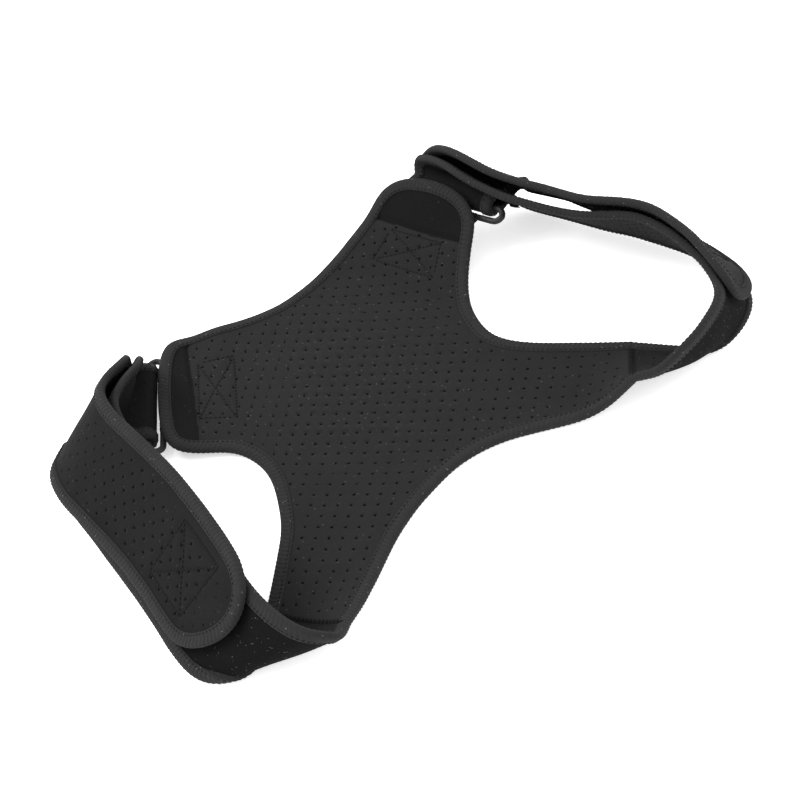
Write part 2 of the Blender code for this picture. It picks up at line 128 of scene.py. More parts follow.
STRAP_RIGHT = (
    (1.59, -1.37, 0.025, 1.27, -1.58, 0.33, 0.050),
    (1.83, -1.41, 0.027, 1.49, -1.60, 0.44, 0.010),
    (2.08, -1.22, 0.025, 1.71, -1.44, 0.48, 0.000),
    (2.12, -0.80, 0.025, 1.80, -1.03, 0.52, 0.000),
    (2.02, -0.38, 0.025, 1.76, -0.66, 0.53, 0.000),
    (1.89, -0.03, 0.025, 1.58, -0.35, 0.49, 0.000),
    (1.80, 0.24, 0.025, 1.44, 0.00, 0.48, 0.000),
    (1.73, 0.43, 0.030, 1.36, 0.34, 0.48, 0.000),
    (1.67, 0.51, 0.080, 1.33, 0.70, 0.49, 0.000),
    (1.58, 0.45, 0.210, 1.29, 0.94, 0.43, 0.000),
    (1.467, 0.364, 0.343, 1.240, 0.981, 0.347, 0.000),
    (1.409, 0.343, 0.345, 1.182, 0.960, 0.345, 0.000),
)
# Folded back layers: share of the way back to the seam, distance out, shift to the high edge.
RETURN_LEFT = (
    (0.0, 2 * TURN / REACH, 0.0),
    (0.03, 2 * TURN / REACH, 0.0),
    (0.11, 0.090, 0.00),
    (0.20, 0.100, 0.03),
    (0.32, 0.085, 0.06),
    (0.46, 0.057, 0.08),
    (1.0, 0.057, 0.08),
)
RETURN_RIGHT = (
    (0.0, 2 * TURN / REACH, 0.0),
    (0.03, 2 * TURN / REACH, 0.0),
    (0.12, 0.10, 0.01),
    (0.26, 0.12, 0.03),
    (0.42, 0.07, 0.06),
    (0.58, 0.058, 0.07),
    (1.0, 0.062, 0.07),
)


def unit(vectors: Array) -> Array:
    """The vectors scaled to length one."""
    return vectors / np.maximum(np.linalg.norm(vectors, axis=-1, keepdims=True), 1e-12)


def distances(line: Array) -> Array:
    """The distance run along a line up to each of its points."""
    return np.append(0, np.cumsum(np.linalg.norm(np.diff(line, axis=0), axis=1)))


def sampled(at: Array | float, run: Array, values: Array) -> Array:
    """Rows of values that are known along a run, at other distances."""
    return np.stack([np.interp(at, run, column) for column in values.T], axis=-1)


def quarter_turn(steps: int) -> list[tuple[float, float]]:
    """Cosine and sine after each step of a quarter turn."""
    angles = np.linspace(0, math.pi / 2, steps + 1)[1:-1]
    return [(math.cos(angle), math.sin(angle)) for angle in angles] + [(0.0, 1.0)]


def search_tree(points: Array | list) -> KDTree:
    """A tree that finds the nearest of these points."""
    tree = KDTree(len(points))
    for place, point in enumerate(points):
        tree.insert(point, place)
    tree.balance()
    return tree


def crossed(box: list[Array]) -> list[list[Array]]:
    """The outline of a box, given by its corners and the first again, and its two diagonals."""
    return [box, [box[0], box[2]], [box[1], box[3]]]


def smoothed(rows: Array, steps: int, ahead: Array | None = None) -> Array:
    """Adds rows between the rows of a table, on a smooth curve.

    Args:
        rows: the rows of the table.
        steps: the number of rows made from each row.
        ahead: a row before the first one, which gives the slope there.

    Returns:
        The rows of the curve, the table's own among them.
    """
    rows = np.asarray(rows, float)
    padded = np.vstack([2 * rows[0] - rows[1] if ahead is None else ahead, rows, 2 * rows[-1] - rows[-2]])
    out = []
    for before, here, there, after in zip(padded, padded[1:], padded[2:], padded[3:]):
        for t in np.arange(steps) / steps:
            slope = (there - before) / 2
            bend = before - 2.5 * here + 2 * there - after / 2
            out.append(here + t * slope + t * t * bend + t**3 * (3 * (here - there) + after - before) / 2)
    out.append(rows[-1])
    return np.array(out)


def panel_columns(width: float) -> Array:
    """Places across an arm of this width, with a line one tape width inside each edge."""
    side = TAPE_WIDTH / width
    return np.concatenate([[0.0], np.linspace(side, 1 - side, INNER_COLUMNS), [1.0]])


def section(near: Array, far: Array, dip: float) -> Array:
    """Points across the panel between two edge points; the middle hangs down, but not into the floor."""
    places = panel_columns(float(np.linalg.norm(far - near)))[:, None]
    points = near + (far - near) * places
    points[:, 2] -= (dip * 4 * places * (1 - places))[:, 0]
    points[:, 2] = np.maximum(points[:, 2], [TAPE_HALF] * 2 + [HALF] * (INNER_COLUMNS - 2) + [TAPE_HALF] * 2)
    return points


def arm(near: tuple, far: tuple, table: Table, past_near: Table, past_far: Table) -> Array:
    """Sections of a panel arm from the line between two notches outward.

    Args:
        near: the notch at the edge nearer the axis of the panel.
        far: the notch at the armhole.
        table: the sections of the arm.
        past_near: the sections of the arm past the near notch.
        past_far: the sections of the arm past the far notch.

    Returns:
        A grid of points, one row per section.
    """
    ahead = (*past_near[0][:3], *past_far[0][3:6], ROOT_DIP)
    rows = smoothed([(*near, *far, ROOT_DIP), *table], STEPS, ahead) * REACH
    return np.array([section(row[:3], row[3:6], row[6]) for row in rows])


def middle(neck_left: Array, neck_right: Array, foot_left: Array, foot_right: Array) -> Array:
    """The patch between the notches, from the first sections of the four arms."""
    over = np.linspace(0, 1, len(neck_left))
    down, across = over[:, None, None], over[None, :, None]
    top, low = neck_right, foot_left[::-1]
    near, far = neck_left, foot_right[::-1]
    ends = (1 - down) * ((1 - across) * top[0] + across * top[-1])
    ends = ends + down * ((1 - across) * low[0] + across * low[-1])
    grid = (1 - down) * top[None] + down * low[None]
    grid = grid + (1 - across) * near[:, None] + across * far[:, None] - ends
    grid[..., 2] = np.maximum(grid[..., 2], HALF)
    return grid


def lip(grid: Array, reach: float, rise: float, square: float) -> Array:
    """Adds the rounded end of a shoulder arm past its last section.

    Args:
        grid: the sections of the arm.
        reach: how far the lip goes past the last section, as a share of REACH.
        rise: how far its end turns up, as a share of REACH.
        square: squareness of its corners.

    Returns:
        The grid with the rows of the lip.
    """
    last = grid[-1]
    along = last[0] - last[-1]
    travel = (grid[-1] - grid[-2]).mean(axis=0)
    outward = np.cross(along, [0, 0, 1])
    outward = unit(outward) * np.sign(outward @ travel)
    outward[2] = travel[2] / (outward @ travel)
    outward *= reach * REACH
    shares = 1 - 2 * panel_columns(float(np.linalg.norm(along)))
    centre = (last[0] + last[-1]) / 2
    rows = []
    for side, ahead in quarter_turn(CAP_STEPS):
        side, ahead = side**square, ahead**square
        row = [centre + along / 2 * c * side + outward * abs(c) * ahead for c in shares]
        for point, c in zip(row, shares):
            point[2] += rise * REACH * (abs(c) * ahead) ** LIP_BEND
        rows.append(row)
    return np.vstack([grid, np.array(rows)])


def unrolled(grid: Array) -> Array:
    """Flat coordinates of a grid: its first row in plan, and each column laid out from it at real length."""
    steps = np.diff(grid, axis=0)
    plan = unit(steps[..., :2]) * np.linalg.norm(steps, axis=-1, keepdims=True)
    return np.concatenate([grid[:1, :, :2], grid[:1, :, :2] + np.cumsum(plan, axis=0)])


def looks_down(grid: Array) -> bool:
    """Whether the faces of a grid look down, so that they need turning."""
    near, far = MIDDLES
    return bool(np.cross(grid[1, near] - grid[0, near], grid[0, far] - grid[0, near])[2] < 0)


def new_object(name: str, points: Array, faces: list, materials: list[Material], slots: Array | None = None,
               spots: Array | None = None) -> Object:
    """Makes a mesh object in the frame of the model.

    Args:
        name: the name of the piece.
        points: its points, measured from the tables' origin.
        faces: its faces.
        materials: its materials.
        slots: the index of the material of each face.
        spots: flat coordinates of each point.

    Returns:
        The object.
    """
    mesh = bpy.data.meshes.new(name)
    mesh.from_pydata((np.asarray(points) + PLACE).tolist(), [], faces)
    for material in materials:
        mesh.materials.append(material)
    if slots is not None:
        mesh.polygons.foreach_set("material_index", np.asarray(slots, np.int32))
    if spots is not None:
        corners = np.empty(len(mesh.loops), np.int32)
        mesh.loops.foreach_get("vertex_index", corners)
        mesh.uv_layers.new(name="flat").data.foreach_set("uv", np.asarray(spots)[corners].ravel())
    mesh.polygons.foreach_set("use_smooth", np.ones(len(mesh.polygons), bool))
    mesh.update()
    obj = bpy.data.objects.new(name, mesh)
    bpy.context.scene.collection.objects.link(obj)
    return obj


def only(obj: Object) -> None:
    """Selects this object alone and makes it active."""
    bpy.ops.object.select_all(action="DESELECT")
    obj.select_set(True)
    bpy.context.view_layer.objects.active = obj


def edited(obj: Object, operator: Callable, **options: bool) -> None:
    """Runs one operator of edit mode on the whole mesh of an object."""
    only(obj)
    bpy.ops.object.mode_set(mode="EDIT")
    bpy.ops.mesh.select_all(action="SELECT")
    operator(**options)
    bpy.ops.object.mode_set(mode="OBJECT")


class Cloth:
    """The middle surface of a piece of cloth: fine points, faces, flat coordinates and normals."""

    WAVES = 45.0  # unevenness, in waves per metre
    CREASE_WIDTH = 0.0016
    CREASE_REACH = 0.75  # how far from its middle a crease acts, as a share of its length
    BARE_FROM = -0.0012  # where the part without holes and in painted shade starts, from the crease
    PULL_STEP = 0.0007

    def __init__(self, grids: list[Array], flats: list[Array], flips: list[bool], wave: float = 0.0) -> None:
        """Joins grids of points into one smooth surface.

        Args:
            grids: the coarse points.
            flats: their flat coordinates.
            flips: whether the faces of each grid need turning.
            wave: height of the soft unevenness of the surface.
        """
        points, spots, faces = self.joined(grids, flats, flips)
        draft = new_object("draft", points, faces, [], spots=spots)
        finer = draft.modifiers.new("finer", "SUBSURF")
        finer.levels = finer.render_levels = LEVELS
        finer.boundary_smooth = "PRESERVE_CORNERS"
        only(draft)
        bpy.ops.object.modifier_apply(modifier=finer.name)
        self.read(draft.data)
        bpy.data.objects.remove(draft)
        for index, point in enumerate(self.points):
            self.points[index] += self.normals[index] * wave * noise.noise(Vector(point) * self.WAVES)
        self.tree = BVHTree.FromPolygons(self.points.tolist(), self.faces)
        self.links = self.neighbours()
        self.rim = self.away(self.points[self.rim_loop()])
        self.pull = np.zeros(len(self.points))
        self.bare_and_painted_shade = np.zeros(len(self.points), bool)

    @staticmethod
    def joined(grids: list[Array], flats: list[Array], flips: list[bool]) -> tuple[Array, Array, list]:
        """Points, flat coordinates and faces of the grids, with points that coincide merged."""
        points, spots, faces, index = [], [], [], {}
        for grid, flat, flip in zip(grids, flats, flips):
            ids = np.empty(grid.shape[:2], int)
            for place in np.ndindex(ids.shape):
                key = tuple(np.round(grid[place] / MERGE).astype(int))
                if key not in index:
                    index[key] = len(points)
                    points.append(grid[place])
                    spots.append(flat[place])
                ids[place] = index[key]
            for i in range(ids.shape[0] - 1):
                for j in range(ids.shape[1] - 1):
                    loop = [ids[i, j], ids[i + 1, j], ids[i + 1, j + 1], ids[i, j + 1]]
                    loop = [int(v) for v in dict.fromkeys(loop)]
                    if len(loop) > 2:
                        faces.append(loop[::-1] if flip else loop)
        return np.array(points), np.array(spots), faces

    def read(self, mesh: bpy.types.Mesh) -> None:
        """Keeps the points, normals, flat coordinates and faces of a mesh."""
        points = np.empty(len(mesh.vertices) * 3)
        mesh.vertices.foreach_get("co", points)
        self.points = points.reshape(-1, 3) - PLACE
        normals = np.empty(len(mesh.vertices) * 3)
        mesh.vertices.foreach_get("normal", normals)
        self.normals = unit(normals.reshape(-1, 3))
        corners = np.empty(len(mesh.loops), np.int32)
        mesh.loops.foreach_get("vertex_index", corners)
        flat = np.empty(len(mesh.loops) * 2)
        mesh.uv_layers[0].data.foreach_get("uv", flat)
        self.spots = np.zeros((len(self.points), 2))
        self.spots[corners] = flat.reshape(-1, 2)
        self.faces = [list(face.vertices) for face in mesh.polygons]

    def neighbours(self) -> list[set[int]]:
        """The points that each point shares an edge with."""
        links = [set() for _ in self.points]
        for face in self.faces:
            for a, b in zip(face, face[1:] + face[:1]):
                links[a].add(b)
                links[b].add(a)
        return links

    def rim_loop(self) -> list[int]:
        """The points round the outline, in order."""
        sides = {(a, b) for face in self.faces for a, b in zip(face, face[1:] + face[:1])}
        after = {a: b for a, b in sides if (b, a) not in sides}
        loop = [min(after)]
        while after[loop[-1]] != loop[0]:
            loop.append(after[loop[-1]])
        return loop

    def rim_paths(self) -> list[list[int]]:
        """The outline cut at its corners, the longest stretch first."""
        loop = self.rim_loop()
        cuts = [i for i, v in enumerate(loop) if len(self.links[v]) == 2]
        loop = loop[cuts[0]:] + loop[:cuts[0] + 1]
        cuts = [i - cuts[0] for i in cuts] + [len(loop) - 1]
        return sorted((loop[a:b + 1] for a, b in zip(cuts, cuts[1:])), key=len, reverse=True)

    def away(self, places: Array | list) -> Array:
        """How far each point lies from the nearest of some places."""
        tree = search_tree(places)
        return np.array([tree.find(point)[2] for point in self.points])

    def pull_in(self, corners: list[Array], width: float = 0.0016, share: float = 0.30) -> None:
        """Marks the surface as pulled in along a line of stitches.

        Args:
            corners: the corners of the line.
            width: how far the pull reaches to each side.
            share: the share of the thickness that it takes.
        """
        places = []
        for a, b in zip(corners, corners[1:]):
            count = max(2, int(np.linalg.norm(b - a) / self.PULL_STEP))
            places += [self.on(a + (b - a) * s, 0.0)[0] for s in np.linspace(0, 1, count)]
        self.pull = np.maximum(self.pull, share * np.exp(-(self.away(places) / width) ** 2))

    def crease(self, near: Array, far: Array, outward: Array, depth: float = 0.0017) -> None:
        """Presses a crease into the surface from near to far, and keeps what lies past it free of holes and
        marks it for painted shade.
        """
        centre = (near + far) / 2
        reach = float(np.linalg.norm(far - near))
        outward = unit(outward * [1, 1, 0])
        past = (self.points - centre) @ outward
        close = np.linalg.norm(self.points - centre, axis=1) < reach * self.CREASE_REACH
        inside = np.clip(self.rim / TAPE_WIDTH, 0.0, 1.0)  # the crease dies out under the tape
        sunk = close * inside * depth * np.exp(-(past / self.CREASE_WIDTH) ** 2)
        self.points -= self.normals * sunk[:, None]
        # what lies past the crease has no holes and takes the darker copy of the fabric: painted shade
        self.bare_and_painted_shade |= close & (past > self.BARE_FROM)

    def on(self, point: Array, lift: float) -> tuple[Array, Array]:
        """The place on the surface nearest to a point, raised by lift, and the normal there."""
        found, normal, _, _ = self.tree.find_nearest(Vector(point))
        normal = np.array(normal)
        return np.array(found) + normal * lift, normal


class Face(IntEnum):
    """Slots of the materials of the foam."""

    UPPER = 0
    LOWER = 1
    # the walls and floors of the holes, in painted shade
    HOLE = 2
    BARE = 3
# the part past a crease, without holes, in a darker copy of the fabric: painted shade


@dataclass
class Foam:
    """Foam fabric with punched holes, built on both sides of a middle surface."""

    cloth: Cloth
    half: float = HALF - 0.0001
    hole: float = 0.00085
    depth: float = 0.0011
    pitch: float = 0.0080
    pinch: float = 0.40  # share of the thickness lost at the edge, where the tape holds it
    low_holes: bool = True
    slack: float = 0.0023  # how far a hole's place may lie from the point that it takes
    clear: float = 0.0012  # room between the holes and the tape
    pinch_reach: float = 0.006
    walls: Table = ((1.0, 0.10), (0.78, 1.0))  # rings of a hole's wall, as shares of its radius and depth
    floor: float = 1.02  # depth of a hole's middle, as a share of its depth
    crowding: float = 0.8  # largest radius of a hole, as a share of the way to the points round it

    def centres(self) -> dict[int, Array]:
        """The point that each punched hole takes the place of, and the hole's flat place."""
        cloth = self.cloth
        tree = search_tree([(*spot, 0) for spot in cloth.spots])
        lowest, highest = cloth.spots.min(axis=0), cloth.spots.max(axis=0)
        count = int(np.ceil((highest - lowest).max() / self.pitch)) * 2 + 2
        step = self.pitch / math.sqrt(2)
        start = np.round((lowest + highest) / 2 / step) * step
        found = {}
        for i in range(-count, count + 1):
            for j in range(-count, count + 1):
                spot = start + np.array([i - j, -i - j]) * step
                if np.any(spot < lowest) or np.any(spot > highest):
                    continue
                _, v, away = tree.find((*spot, 0))
                if away < self.slack and cloth.rim[v] > TAPE_WIDTH + self.clear and not cloth.bare_and_painted_shade[v]:
                    found[v] = spot
        return found

    def side(self, sign: int, holes: dict[int, Array], first: int) -> tuple[list, list, list, list]:
        """Points, flat coordinates, faces and material slots of one side.

        Args:
            sign: 1 for the side that the normals point to, -1 for the other.
            holes: the point and the flat place of each hole.
            first: the index of the first point.
        """
        cloth = self.cloth
        swell = 1 - self.pinch * np.clip(1 - cloth.rim / self.pinch_reach, 0, 1) ** 2 - cloth.pull
        points = list(cloth.points + cloth.normals * (sign * self.half * swell)[:, None])
        spots = list(cloth.spots)
        around = {v: [] for v in holes}
        kept = []
        for face in cloth.faces:
            hit = [v for v in face if v in around]
            if hit:
                around[hit[0]].append(face)
            else:
                kept.append(face)
        plain = Face.UPPER if sign > 0 else Face.LOWER
        # faces past a crease take the darker copy of the fabric: painted shade
        slots = [Face.BARE if all(cloth.bare_and_painted_shade[v] for v in face) else plain for face in kept]
        for v, quads in around.items():
            after = {}
            for quad in quads:
                at = quad.index(v)
                turned = quad[at + 1:] + quad[:at]
                after[turned[0]] = turned
            if len(quads) != 4 or any(len(quad) != 4 for quad in quads):
                kept += quads
                slots += [plain] * len(quads)
                continue
            ring, here = [], next(iter(after))
            for _ in range(4):
                turned = after[here]
                ring += turned[:-1]
                here = turned[-1]
            self.punch(v, ring, holes[v], sign, points, spots, kept, slots)
        turn = 1 if sign > 0 else -1
        return points, spots, [[index + first for index in face[::turn]] for face in kept], slots

    def punch(self, v: int, ring: list[int], spot: Array, sign: int, points: list, spots: list, faces: list,
              slots: list) -> None:
        """Makes one hole inside a ring of points."""
        cloth = self.cloth
        near = np.array(sorted(cloth.links[v]))
        flat, real = cloth.spots[near] - cloth.spots[v], cloth.points[near] - cloth.points[v]
        slope = np.linalg.lstsq(flat, real, rcond=None)[0]
        offset = (spot - cloth.spots[v]) @ slope
        normal = cloth.normals[v] * sign
        base = points[v] + offset
        away = np.array([points[k] - base for k in ring])
        away -= (away @ normal)[:, None] * normal
        radius = min(self.hole, self.crowding * float(np.linalg.norm(away, axis=1).min()))
        away = unit(away)
        size = len(ring)
        outer = ring
        plain = Face.UPPER if sign > 0 else Face.LOWER
        # the deeper ring and the floor take the near-black material: painted shade inside the hole
        for (share, drop), slot in zip(self.walls, (plain, Face.HOLE)):
            start = len(points)
            points += list(base + away * radius * share - normal * self.depth * drop)
            spots += [spot] * size
            inner = list(range(start, start + size))
            for k in range(size):
                n = (k + 1) % size
                faces.append([outer[k], outer[n], inner[n], inner[k]])
                slots.append(slot)
            outer = inner
        faces.append(outer)
        slots.append(Face.HOLE)
        points[v] = base - normal * self.depth * self.floor

    def build(self, name: str, materials: list[Material]) -> Object:
        """The solid foam with its holes; materials are those of the two sides and of the holes' walls, near
        black as painted shade, and where given a fourth, a darker copy with painted shade for the part past a
        crease.
        """
        holes = self.centres()
        points, spots, faces, slots = self.side(1, holes, 0)
        count = len(points)
        more = self.side(-1, holes if self.low_holes else {}, count)
        points, spots = points + more[0], spots + more[1]
        faces, slots = faces + more[2], slots + more[3]
        loop = self.cloth.rim_loop()
        for a, b in zip(loop, loop[1:] + loop[:1]):
            faces.append([b, a, a + count, b + count])
            slots.append(Face.UPPER)
        obj = new_object(name, np.array(points), faces, materials, np.array(slots), np.array(spots))
        edited(obj, bpy.ops.mesh.delete_loose, use_verts=True, use_edges=True, use_faces=False)
        LOG.info("%s: %d faces, %d holes", name, len(faces), len(holes))
        return obj


class Weave(Enum):
    """How the ridges of the edge tape run."""

    LADDER = "ladder"
    SMOOTH = "smooth"


@dataclass
class Tape:
    """Tape folded over an edge of the cloth, with the ridges of its weave."""

    step: float = 0.00055
    ridge: float = 0.00028
    ridge_pitch: float = 0.0030
    blur: int = 7  # points over which the ways of the tape are averaged
    spine: float = TAPE_WIDTH / 2  # where the ridges' slants meet, inward from the edge
    hug_from: float = 0.001  # the tape follows the cloth from here inward
    flat_from: float = 0.0064  # there are no ridges from here inward
    groove_at: float = 0.0047
    groove: float = 0.00022  # depth of the sewn groove where there are no ridges
    # Places of the profile: distance in from the edge and height over the middle of the cloth.
    profile: Table = (
        (0.0066, 0.0015), (0.0065, 0.00195), (0.0059, 0.00222), (0.0047, 0.00228), (0.0034, 0.00236),
        (0.0020, 0.00236), (0.0006, 0.00222), (-0.0005, 0.0018), (-0.0011, 0.0011), (-0.00140, 0.0),
    )

    def line(self, cloth: Cloth, path: list[int]) -> tuple[Array, Array, Array, Array]:
        """Evenly spaced stations along an edge: places, ways up, ways out and distances run."""
        at, up = cloth.points[path], cloth.normals[path]
        on_rim = set(cloth.rim_loop())
        within = []
        for v in path:
            inner = [w for w in cloth.links[v] if w not in on_rim]
            deeper = [x for w in inner for x in cloth.links[w] if x not in on_rim and x not in cloth.links[v]]
            within.append(cloth.points[inner[0]] if inner else np.full(3, np.nan))
            if len(inner) == 1 and deeper:
                straight = 2 * cloth.points[inner[0]] - cloth.points[v]
                gaps = [np.linalg.norm(straight - cloth.points[x]) for x in deeper]
                within[-1] = cloth.points[deeper[int(np.argmin(gaps))]]
        within = np.array(within)
        travel = unit(np.gradient(at, axis=0))
        out = at - within
        out = unit(out - travel * (out * travel).sum(axis=1, keepdims=True))
        good = ~np.isnan(out).any(axis=1)
        run = distances(at)
        out = sampled(run, run[good], out[good])
        kernel = np.ones(self.blur) / self.blur
        edge = self.blur // 2
        up, out = (np.stack([np.convolve(np.pad(column, edge, "edge"), kernel, "valid") for column in values.T],
                            axis=-1) for values in (up, out))
        stations = np.linspace(0, run[-1], int(run[-1] / self.step) + 1)
        spread = [sampled(stations, run, values) for values in (at, up, out)]
        return spread[0], unit(spread[1]), unit(spread[2]), stations

    def build(self, name: str, cloth: Cloth, path: list[int], material: Material, hug: bool,
              weave: list[Weave] | None = None) -> Object:
        """The tape along one edge.

        Args:
            name: the name of the piece.
            cloth: the cloth that it edges.
            path: the points of the edge, in order.
            material: its finish.
            hug: whether its inner edges follow the cloth's nearest surface.
            weave: the run of the ridges at each point of the path.

        Returns:
            The object.
        """
        at, up, out, stations = self.line(cloth, path)
        amount = np.ones(len(at))
        if weave is not None:
            flags = np.array([float(kind is Weave.LADDER) for kind in weave])
            amount = np.interp(np.linspace(0, 1, len(at)), np.linspace(0, 1, len(flags)), flags)
        sides = [(inward, height) for inward, height in self.profile]
        sides += [(inward, -height) for inward, height in self.profile[-2::-1]]
        columns = []
        for inward, height in sides:
            place = at - out * inward
            ways = up
            if hug and inward > self.hug_from:
                found = [cloth.on(point, 0.0) for point in place]
                place = np.array([point for point, _ in found])
                ways = np.array([way for _, way in found])
            phase = stations / self.ridge_pitch + abs(inward - self.spine) / self.spine * 0.5
            wavy = np.abs(2 * (phase % 1) - 1) * 2 - 1
            lift = height + math.copysign(1, height) * self.ridge * wavy * amount * (height != 0)
            if inward > self.flat_from:
                lift = np.full(len(at), height)
            if abs(inward - self.groove_at) < MERGE:
                lift = lift - np.sign(height) * self.groove * (1 - amount)
            columns.append(place + ways * np.reshape(lift, (-1, 1)))
        size = len(columns)
        points = np.array(columns).transpose(1, 0, 2).reshape(-1, 3)
        around = np.append(0, np.cumsum(np.abs(np.diff(sides, axis=0)).sum(axis=1)))
        spots = np.array([(s, w) for s in stations for w in around])
        faces = []
        for i in range(len(at) - 1):
            for k in range(size):
                n = (k + 1) % size
                faces.append([i * size + n, i * size + k, (i + 1) * size + k, (i + 1) * size + n])
        faces.append(list(range(size)))
        faces.append(list(range((len(at) - 1) * size, len(at) * size))[::-1])
        obj = new_object(name, points, faces, [material], spots=spots)
        edited(obj, bpy.ops.mesh.normals_make_consistent, inside=False)
        LOG.info("%s: %d faces", name, len(faces))
        return obj


class Thread:
    """Sewing thread: runs of stitches gathered into one mesh."""

    SIDES = 5
    SECTIONS = ((0.0, 0.35, -0.8), (0.14, 0.85, 0.1), (0.5, 1.0, 0.45), (0.86, 0.85, 0.1), (1.0, 0.35, -0.8))
    STEP = 0.002  # between the places where a line of stitches is laid on the cloth

    def __init__(self, thick: float = 0.00034, long: float = 0.0021, gap: float = 0.0008) -> None:
        """Starts with no stitches.

        Args:
            thick: radius of the thread.
            long: length of a stitch that shows.
            gap: length hidden between two stitches.
        """
        self.thick, self.long, self.gap = thick, long, gap
        self.points: list[Array] = []
        self.faces: list[list[int]] = []

    def bead(self, start: Array, end: Array, up: Array) -> None:
        """One stitch from start to end, plump in its middle and sunk at its ends."""
        along = unit(end - start)
        side = unit(np.cross(up, along))
        top = np.cross(along, side)
        base = len(self.points)
        for share, size, lift in self.SECTIONS:
            centre = start + (end - start) * share + top * self.thick * lift
            for k in range(self.SIDES):
                angle = 2 * math.pi * k / self.SIDES
                way = side * math.cos(angle) + top * math.sin(angle)
                self.points.append(centre + way * self.thick * size)
        joints = len(self.SECTIONS) - 1
        for i in range(joints):
            for k in range(self.SIDES):
                n = (k + 1) % self.SIDES
                row, above = base + i * self.SIDES, base + (i + 1) * self.SIDES
                self.faces.append([row + k, above + k, above + n, row + n])
        self.faces.append([base + k for k in range(self.SIDES)])
        self.faces.append([base + joints * self.SIDES + k for k in range(self.SIDES)][::-1])

    def run(self, places: Array, ups: Array) -> None:
        """Stitches along a line of places."""
        lengths = distances(places)
        count = int(lengths[-1] / (self.long + self.gap))
        for k in range(count):
            ends = np.array([0.0, self.long]) + k * (self.long + self.gap)
            start, end = sampled(ends, lengths, places)
            self.bead(start, end, unit(sampled(ends[0], lengths, ups)))

    def across(self, cloth: Cloth, corners: list[Array], lift: float) -> None:
        """Stitches from corner to corner over the surface of a cloth."""
        for a, b in zip(corners, corners[1:]):
            count = max(2, int(np.linalg.norm(b - a) / self.STEP))
            found = [cloth.on(a + (b - a) * share, abs(lift)) for share in np.linspace(0, 1, count)]
            places = np.array([place for place, _ in found])
            ways = np.array([way for _, way in found])
            if lift < 0:
                places = places - ways * 2 * abs(lift)
                ways = -ways
            self.run(places, ways)

    def zigzag(self, cloth: Cloth, line: Array, out: Array, width: float, pitch: float, lift: float) -> None:
        """Straight threads that cross a seam to and fro."""
        lengths = distances(line)
        count = int(lengths[-1] / pitch)
        ends = []
        for k in range(count + 1):
            at, way = (sampled(k * pitch, lengths, values) for values in (line, out))
            ends.append(cloth.on(at + way * width * (1 if k % 2 else -1) / 2, lift))
        for (a, way), (b, _) in zip(ends, ends[1:]):
            self.bead(a, b, way)

    def build(self, name: str, material: Material) -> Object:
        """All the stitches as one object."""
        obj = new_object(name, np.array(self.points), self.faces, [material])
        LOG.info("%s: %d faces", name, len(self.faces))
        return obj


class Sockets:
    """Short ways to add nodes to one node tree and join them."""

    def __init__(self, tree: bpy.types.NodeTree) -> None:
        """Works on this tree."""
        self.tree = tree

    def feed(self, socket: bpy.types.NodeSocket, value: object) -> None:
        """Links a socket to another, or sets its value."""
        if isinstance(value, bpy.types.NodeSocket):
            self.tree.links.new(value, socket)
        else:
            socket.default_value = value

    def add(self, kind: str, **values: object) -> bpy.types.Node:
        """Adds a node, with values for its inputs by name."""
        node = self.tree.nodes.new(kind)
        for name, value in values.items():
            self.feed(node.inputs[name], value)
        return node

    def sum(self, operation: str, *values: object) -> bpy.types.NodeSocket:
        """The output of a Math node on numbers or sockets."""
        node = self.tree.nodes.new("ShaderNodeMath")
        node.operation = operation
        for socket, value in zip(node.inputs, values):
            self.feed(socket, value)
        return node.outputs[0]

    def mix(self, share: object, first: object, second: object) -> bpy.types.NodeSocket:
        """The output of a colour mix of two colours or sockets."""
        node = self.tree.nodes.new("ShaderNodeMix")
        node.data_type = "RGBA"
        share_in, first_in, second_in = (node.inputs[place] for place in (0, 6, 7))
        self.feed(share_in, share)
        self.feed(first_in, first)
        self.feed(second_in, second)
        return node.outputs[2]


def new_material(name: str) -> tuple[Material, Sockets, bpy.types.Node]:
    """A new material, the maker of its nodes and its shader."""
    material = bpy.data.materials.new(name)
    material.use_nodes = True
    return material, Sockets(material.node_tree), material.node_tree.nodes["Principled BSDF"]


